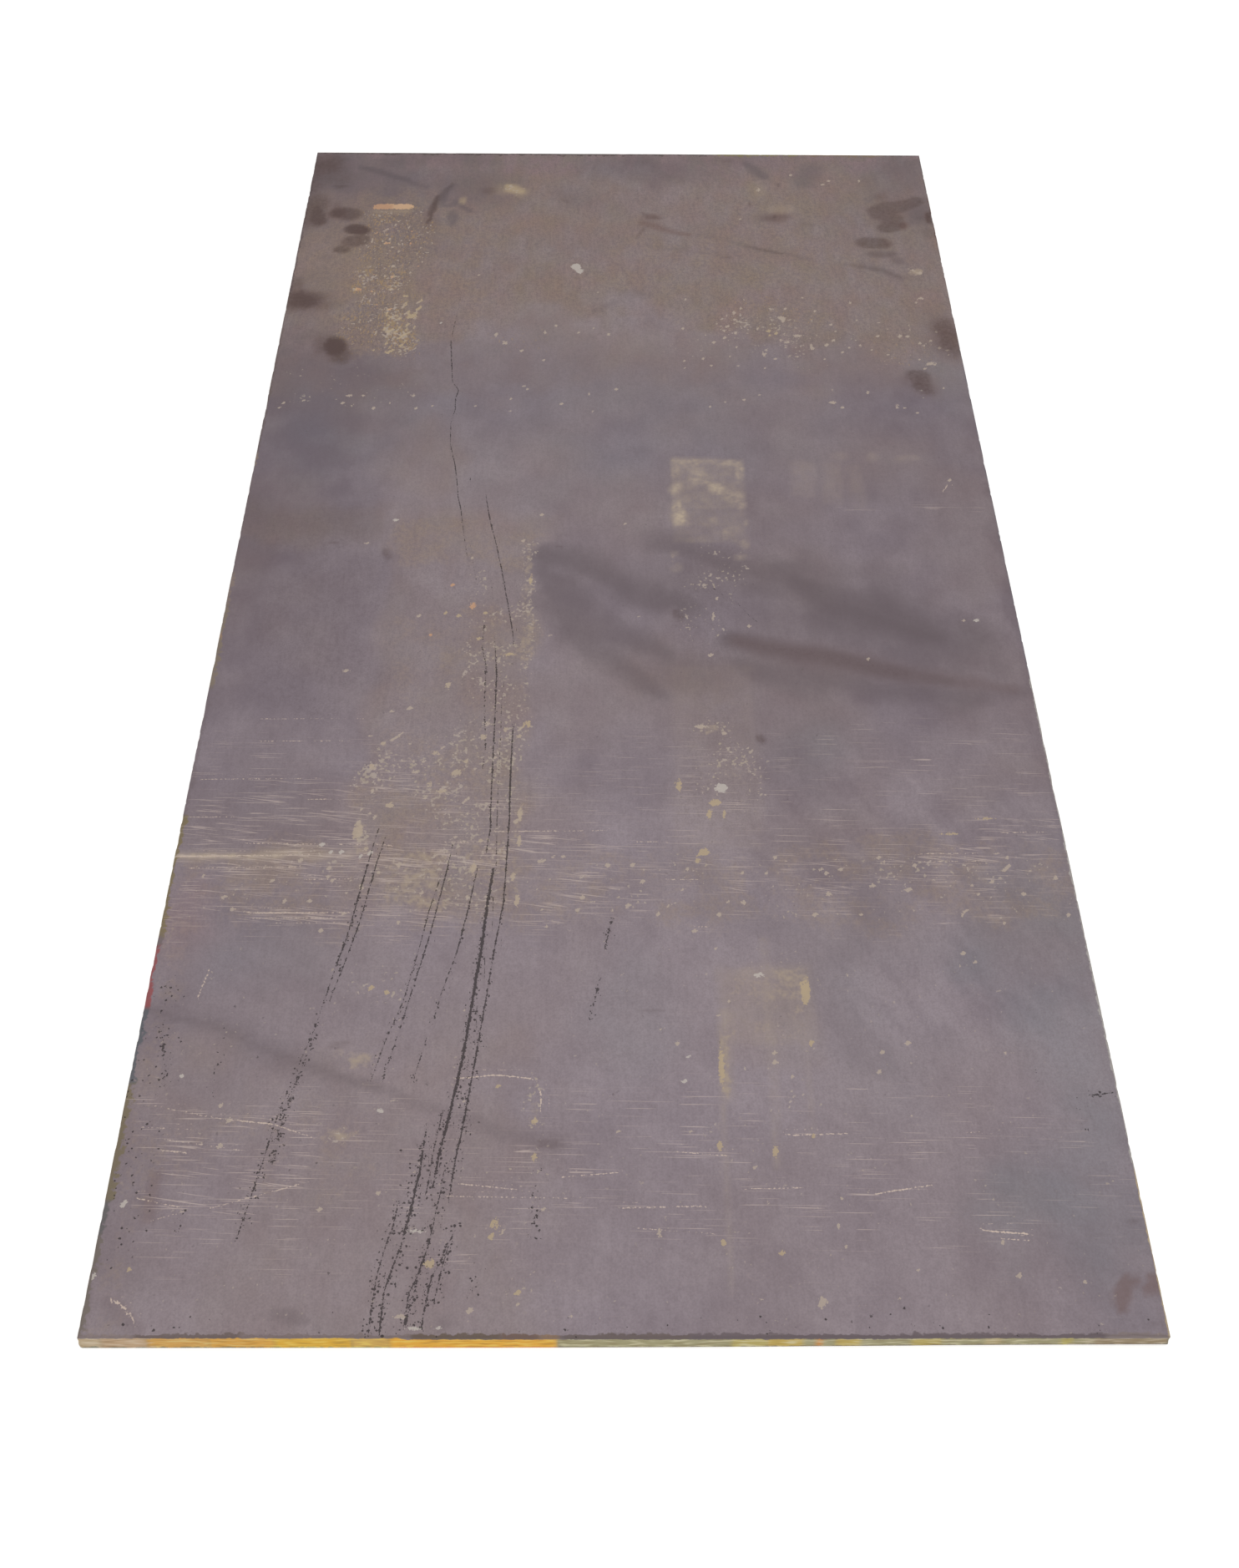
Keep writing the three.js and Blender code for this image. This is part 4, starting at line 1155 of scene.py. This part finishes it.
# Drag marks with their pits, and the scrapes that are drawn one by one. Towards the near end a drag
# mark breaks up more, and more pits are strewn beside it.
drag_ridge, drag_near = marks("drag", len(drag_layers))
scrape_ridge, _ = marks("scrape", len(scrape_layers))
scrape = beats(scrape_ridge, fine, 0.3, 0.8)
broken_up = add("MapRange", {"Value": y, "From Min": -380.0, "From Max": -740.0,
                             "To Min": 0.46, "To Max": 0.62})
grit = add("MapRange", {"Value": y, "From Min": -520.0, "From Max": -860.0,
                        "To Min": -0.56, "To Max": 0.0})
gaps = add("Math", {0: fine, 1: spots}, operation="ADD")
gaps = add("Math", {0: gaps, 1: broken_up}, operation="MULTIPLY")
drag = beats(drag_ridge, gaps)
strewn = add("Math", {0: drag_near, 1: grit}, operation="ADD")
strewn = add("Math", {0: strewn, 1: 0.0}, operation="MAXIMUM")
strewn = add("Math", {0: film["pits"], 1: 0.4, 2: strewn}, operation="MULTIPLY_ADD")
pits = dots(PIT_CELL, PIT_HALF_WIDTH, strewn)
dark = add("Math", {0: drag, 1: pits}, operation="MAXIMUM")

# A fleck is there where its height over its rim beats the grain, which leaves the rim ragged.
rough_rim = add("Math", {0: fine, 1: -1.0}, operation="ADD")
rough_rim = add("Math", {0: rough_rim, 1: 2.8, 2: film["fleck"]}, operation="MULTIPLY_ADD")
rough_rim = add("Math", {0: spots, 1: -2.2, 2: rough_rim}, operation="MULTIPLY_ADD")
fleck = add("MapRange", {"Value": rough_rim, "From Min": -2.8, "From Max": -2.0},
            interpolation_type="SMOOTHSTEP")
fleck_colour = add("ValToRGB", {0: film["fleck_kind"]})
ramp = fleck_colour.node.color_ramp
for hue in (CREAM, MUSTARD, PEACH):  # the ramp has its ends, white and orange, from the start
    ramp.elements.new(hue)
for stop, hex_colour in zip(ramp.elements, ("#c2b9b1", "#b6a698", "#b8a486", "#d8b18c", "#c89c7a")):
    stop.color = linear(hex_colour)

# The rim: full at the border, giving out in a ragged line as far in as rim_reach says, and down the
# edge as far as the land's foot.
rim_paint_and_light_parts = add("Attribute", out=None, attribute_name="rim_paint_and_light")
rim_width = add("MapRange", {"Value": inset, "From Min": 3.0, "From Max": film["rim_reach"],
                             "To Min": 1.15, "To Max": 0.0})
rim_there = beats(rim_width, spots, 0.3)
rim_there = add("Math", {0: rim_there, 1: rim_paint_and_light_parts["Alpha"]}, operation="MULTIPLY")
on_top = add("MapRange", {"Value": z, "From Min": LAND_FOOT - 0.5, "From Max": LAND_FOOT + 0.5})
rim_there = add("Math", {0: rim_there, 1: on_top}, operation="MULTIPLY")

# How far down the edge a place is, from the flat top's border. It is below 0 on the flat top.
past_border = add("Math", {0: inset, 1: BORDER}, operation="SUBTRACT")
past_border = add("Math", {0: past_border, 1: 0.0}, operation="MAXIMUM")
down = add("Math", {0: THICKNESS, 1: z}, operation="SUBTRACT")
down = add("Math", {0: down, 1: past_border}, operation="SUBTRACT")
# The sheared face's colour, with painted light on the front face, starts in a chipped line, and has
# streaks and a darker foot of its own, which is partly painted shade.
chips = add("Math", {0: spots, 1: -2.8, 2: 1.4}, operation="MULTIPLY_ADD")
below = add("Math", {0: down, 1: chips}, operation="ADD")
below = add("Math", {0: below, 1: film["face_from"]}, operation="SUBTRACT")
face = add("MapRange", {"Value": below, "From Min": 0.0, "From Max": 0.6})
along_edge = grain(2.6, 1.0, stretch=(8, 8, 1.2), shift=500)
pale_streak = add("MapRange", {"Value": along_edge, "From Min": 0.5, "From Max": 0.8, "To Max": face})
dark_streak = add("MapRange", {"Value": along_edge, "From Min": 0.42, "From Max": 0.1, "To Max": face})
near_foot = add("MapRange", {"Value": z, "From Min": 0.0, "From Max": 4.0,
                             "To Min": 1.0, "To Max": 0.0})
foot = add("Math", {0: beats(near_foot, spots, 0.3), 1: face}, operation="MULTIPLY")

# The scale, and what the coats below are made of. A Mix of colours takes its share at 0 and the two
# colours at 6 and 7, and gives the result at 2.
# The scale runs from pale to dark mauve-grey as its tone and its painted shade say.
colour = add("Mix", {0: film["shade"], 6: linear("#92868c"), 7: linear("#6b5f68")}, 2, data_type="RGBA")
speckle = add("Math", {0: rolled, 1: 0.16, 2: -0.19}, operation="MULTIPLY_ADD")
speckle = add("Math", {0: fine, 1: 0.26, 2: speckle}, operation="MULTIPLY_ADD")
speckle = add("Math", {0: spots, 1: 0.20, 2: speckle}, operation="MULTIPLY_ADD")
speckle = add("Math", {0: speckle, 1: film["worn"]}, operation="MULTIPLY", use_clamp=True)
roughness = add("MapRange", {"Value": film["mottle"], "To Min": 0.52, "To Max": 0.64})
metallic = 0.25
rust_grain = grain(2.6, 1.0, stretch=(1, 2.6, 1), shift=150)
rust_colour = add("Mix", {0: spots, 6: linear("#a5825f"), 7: linear("#a8956a")}, 2, data_type="RGBA")
dust_colour = add("Mix", {0: film["mottle"], 6: linear("#8b7b6f"), 7: linear("#907a70")}, 2,
                  data_type="RGBA")
crumb_grain = grain(4.6, 1.5, turn=24, shift=220)
clumps = add("Math", {0: blots, 1: 0.42}, operation="MULTIPLY")
clumps = add("Math", {0: spots, 1: 0.5, 2: clumps}, operation="MULTIPLY_ADD")
patchy = add("Math", {0: spots, 1: blots}, operation="ADD")
patchy = add("Math", {0: patchy, 1: 0.8, 2: 0.2}, operation="MULTIPLY_ADD")
label_there = add("Math", {0: film["label"], 1: patchy}, operation="MULTIPLY")
crumb_colour = add("Mix", {0: blots, 6: linear("#b5a79f"), 7: linear("#aa9c8a")}, 2, data_type="RGBA")

# Each coat: its colour, where it lies, how much of it covers there, its roughness and its metallic
# share. A later coat lies over the ones before it.
coats = [
    ("#747980", film["blue"], 0.40, 0.5, 0.3),
    (dust_colour, film["dust"], 1.0, 0.72, 0.1),
    ("#97836f", beats(film["bloom"], spots, 0.6, 0.4), 0.40, 0.8, 0.05),
    ("#8e777a", film["blush"], 0.75, 0.65, 0.1),
    ("#5b4f53", speckle, 1.0, 0.6, 0.2),
    ("#5c5054", film["smear_and_shade"], 0.9, 0.5, 0.2),
    ("#b6a592", label_there, 1.0, 0.85, 0.0),
    ("#6a4f49", film["stain"], 1.0, 0.6, 0.1),
    ("#ac9b88", beats(film["glue"], clumps, 0.6), 0.72, 0.85, 0.0),
    ("#b29e81", film["splash"], 0.85, 0.85, 0.0),
    (rust_colour, beats(film["rust"], rust_grain, 0.3), 0.55, 0.85, 0.0),
    (crumb_colour, beats(film["crumbs"], crumb_grain, 0.2), 0.75, 0.85, 0.0),
    # The rim's colour holds a painted highlight on the right border and painted shade on the front one.
    (rim_paint_and_light_parts["Color"], rim_there, 1.0, 0.75, 0.1),
    ("#bfaea5", scuff, 0.50, 0.45, 0.4),
    ("#c4b1a2", scrape, 0.8, 0.45, 0.4),
    (fleck_colour, fleck, 0.78, 0.85, 0.0),
    ("#402722", beats(film["oil"], spots, 0.75, 0.22), 0.85, 0.45, 0.1),
    ("#2b2425", dark, 0.82, 0.7, 0.2),
    # The sheared face, its streaks and its foot: painted light on the front face, painted shade at its
    # foot.
    (add("Attribute", attribute_name="face_paint_and_light"), face, 1.0, 0.8, 0.1),
    ("#8a6a48", dark_streak, 0.4, 0.8, 0.1),
    (add("Attribute", attribute_name="streak_paint_and_light"), pale_streak, 0.6, 0.8, 0.1),
    (add("Attribute", attribute_name="foot_colour_and_shade"), foot, 0.75, 0.8, 0.1),
]
for tint, there, share, rough, metal in coats:
    tint = linear(tint) if isinstance(tint, str) else tint
    cover = add("Math", {0: there, 1: share}, operation="MULTIPLY")
    colour = add("Mix", {0: cover, 6: colour, 7: tint}, 2, data_type="RGBA")
    roughness = add("Mix", {0: cover, 2: roughness, 3: rough})
    metallic = add("Mix", {0: cover, 2: metallic, 3: metal})

# The relief, and the finished surface.
height = add("Math", {0: fine, 1: FINE_RELIEF}, operation="MULTIPLY")
height = add("Math", {0: fleck, 1: FLECK_RELIEF, 2: height}, operation="MULTIPLY_ADD")
relief = add("Bump", {"Height": height, "Strength": 1.0, "Distance": MM})
finish = add("BsdfPrincipled", {"Base Color": colour, "Roughness": roughness, "Metallic": metallic,
                                "Normal": relief, "Specular IOR Level": 0.3})
add("OutputMaterial", {"Surface": finish}, None)
mesh.materials.append(material)

# ---- Floor ----------------------------------------------------------------------------------------
# A pale, seamless studio floor, wide enough to reach past every view. The camera sees it white, and
# it keeps the plate's soft shadow.

FLOOR_REACH = 40.0  # metres, as is the drop
FLOOR_DROP = 0.0005  # under the plate's foot, so that the two faces don't touch
FLOOR_GLOW = 0.5  # what the floor gives of its own where it is looked at, so that it is seen white
floor_mesh = bpy.data.meshes.new("studio_floor")
floor_mesh.from_pydata([(-FLOOR_REACH, -FLOOR_REACH, 0), (FLOOR_REACH, -FLOOR_REACH, 0),
                        (FLOOR_REACH, FLOOR_REACH, 0), (-FLOOR_REACH, FLOOR_REACH, 0)], [], [(0, 1, 2, 3)])
floor = bpy.data.objects.new("studio_floor", floor_mesh)
floor.location.z = -FLOOR_DROP
bpy.context.scene.collection.objects.link(floor)


def looked_at():
    """1 for rays that come from the camera, from a mirror or through glass, and 0 for all others."""
    ray = add("LightPath", out=None)
    seen = add("Math", {0: ray["Is Camera Ray"], 1: ray["Is Glossy Ray"]}, operation="MAXIMUM")
    return add("Math", {0: seen, 1: ray["Is Transmission Ray"]}, operation="MAXIMUM")


pale = bpy.data.materials.new("pale_floor")
pale.use_nodes = True
tree = pale.node_tree
tree.nodes.clear()
lit = add("BsdfDiffuse", {"Color": linear("#e9e8e6")})
glow = add("Math", {0: looked_at(), 1: FLOOR_GLOW}, operation="MULTIPLY")
glow = add("Emission", {"Color": (1, 1, 1, 1), "Strength": glow})
add("OutputMaterial", {"Surface": add("AddShader", {0: lit, 1: glow})}, None)
pale.cycles.emission_sampling = "NONE"  # the glow is only for rays that look at the floor
floor_mesh.materials.append(pale)

# ---- Light ----------------------------------------------------------------------------------------
# An even white room and one large soft lamp overhead. Together they light the plate at a level that
# shows colours as they are.

ROOM_LIGHT = 0.62  # how brightly the room lights the plate
ROOM_SEEN = 1.0  # how bright the room is where it is looked at
world = bpy.data.worlds.new("studio")
bpy.context.scene.world = world
world.use_nodes = True
tree = world.node_tree
tree.nodes.clear()
level = add("Mix", {0: looked_at(), 2: ROOM_LIGHT, 3: ROOM_SEEN})
add("OutputWorld", {"Surface": add("Background", {"Color": (1, 1, 1, 1), "Strength": level})}, None)

lamp = bpy.data.objects.new("soft_lamp", bpy.data.lights.new("soft_lamp", "AREA"))
lamp.data.shape = "SQUARE"
lamp.data.size = 3.0
lamp.data.energy = 47.5
lamp.location = (0.3, -0.6, 3.8)
lamp.rotation_euler = (math.radians(9), math.radians(4), 0)
bpy.context.scene.collection.objects.link(lamp)

# ---- Camera ---------------------------------------------------------------------------------------
# Held at eye height, a little over half a metre in front of the plate's near end, and tipped down
# at it. Places are in metres and turns in degrees.

camera = bpy.data.objects.new("camera", bpy.data.cameras.new("camera"))
camera.data.lens = 38.873
camera.data.sensor_width = 36.0
camera.location = (-0.0187, -1.5811, 1.5317)
camera.rotation_euler = [math.radians(a) for a in (39.191, -0.438, -0.189)]
bpy.context.scene.collection.objects.link(camera)
bpy.context.scene.camera = camera
bpy.context.scene.view_settings.view_transform = "Standard"
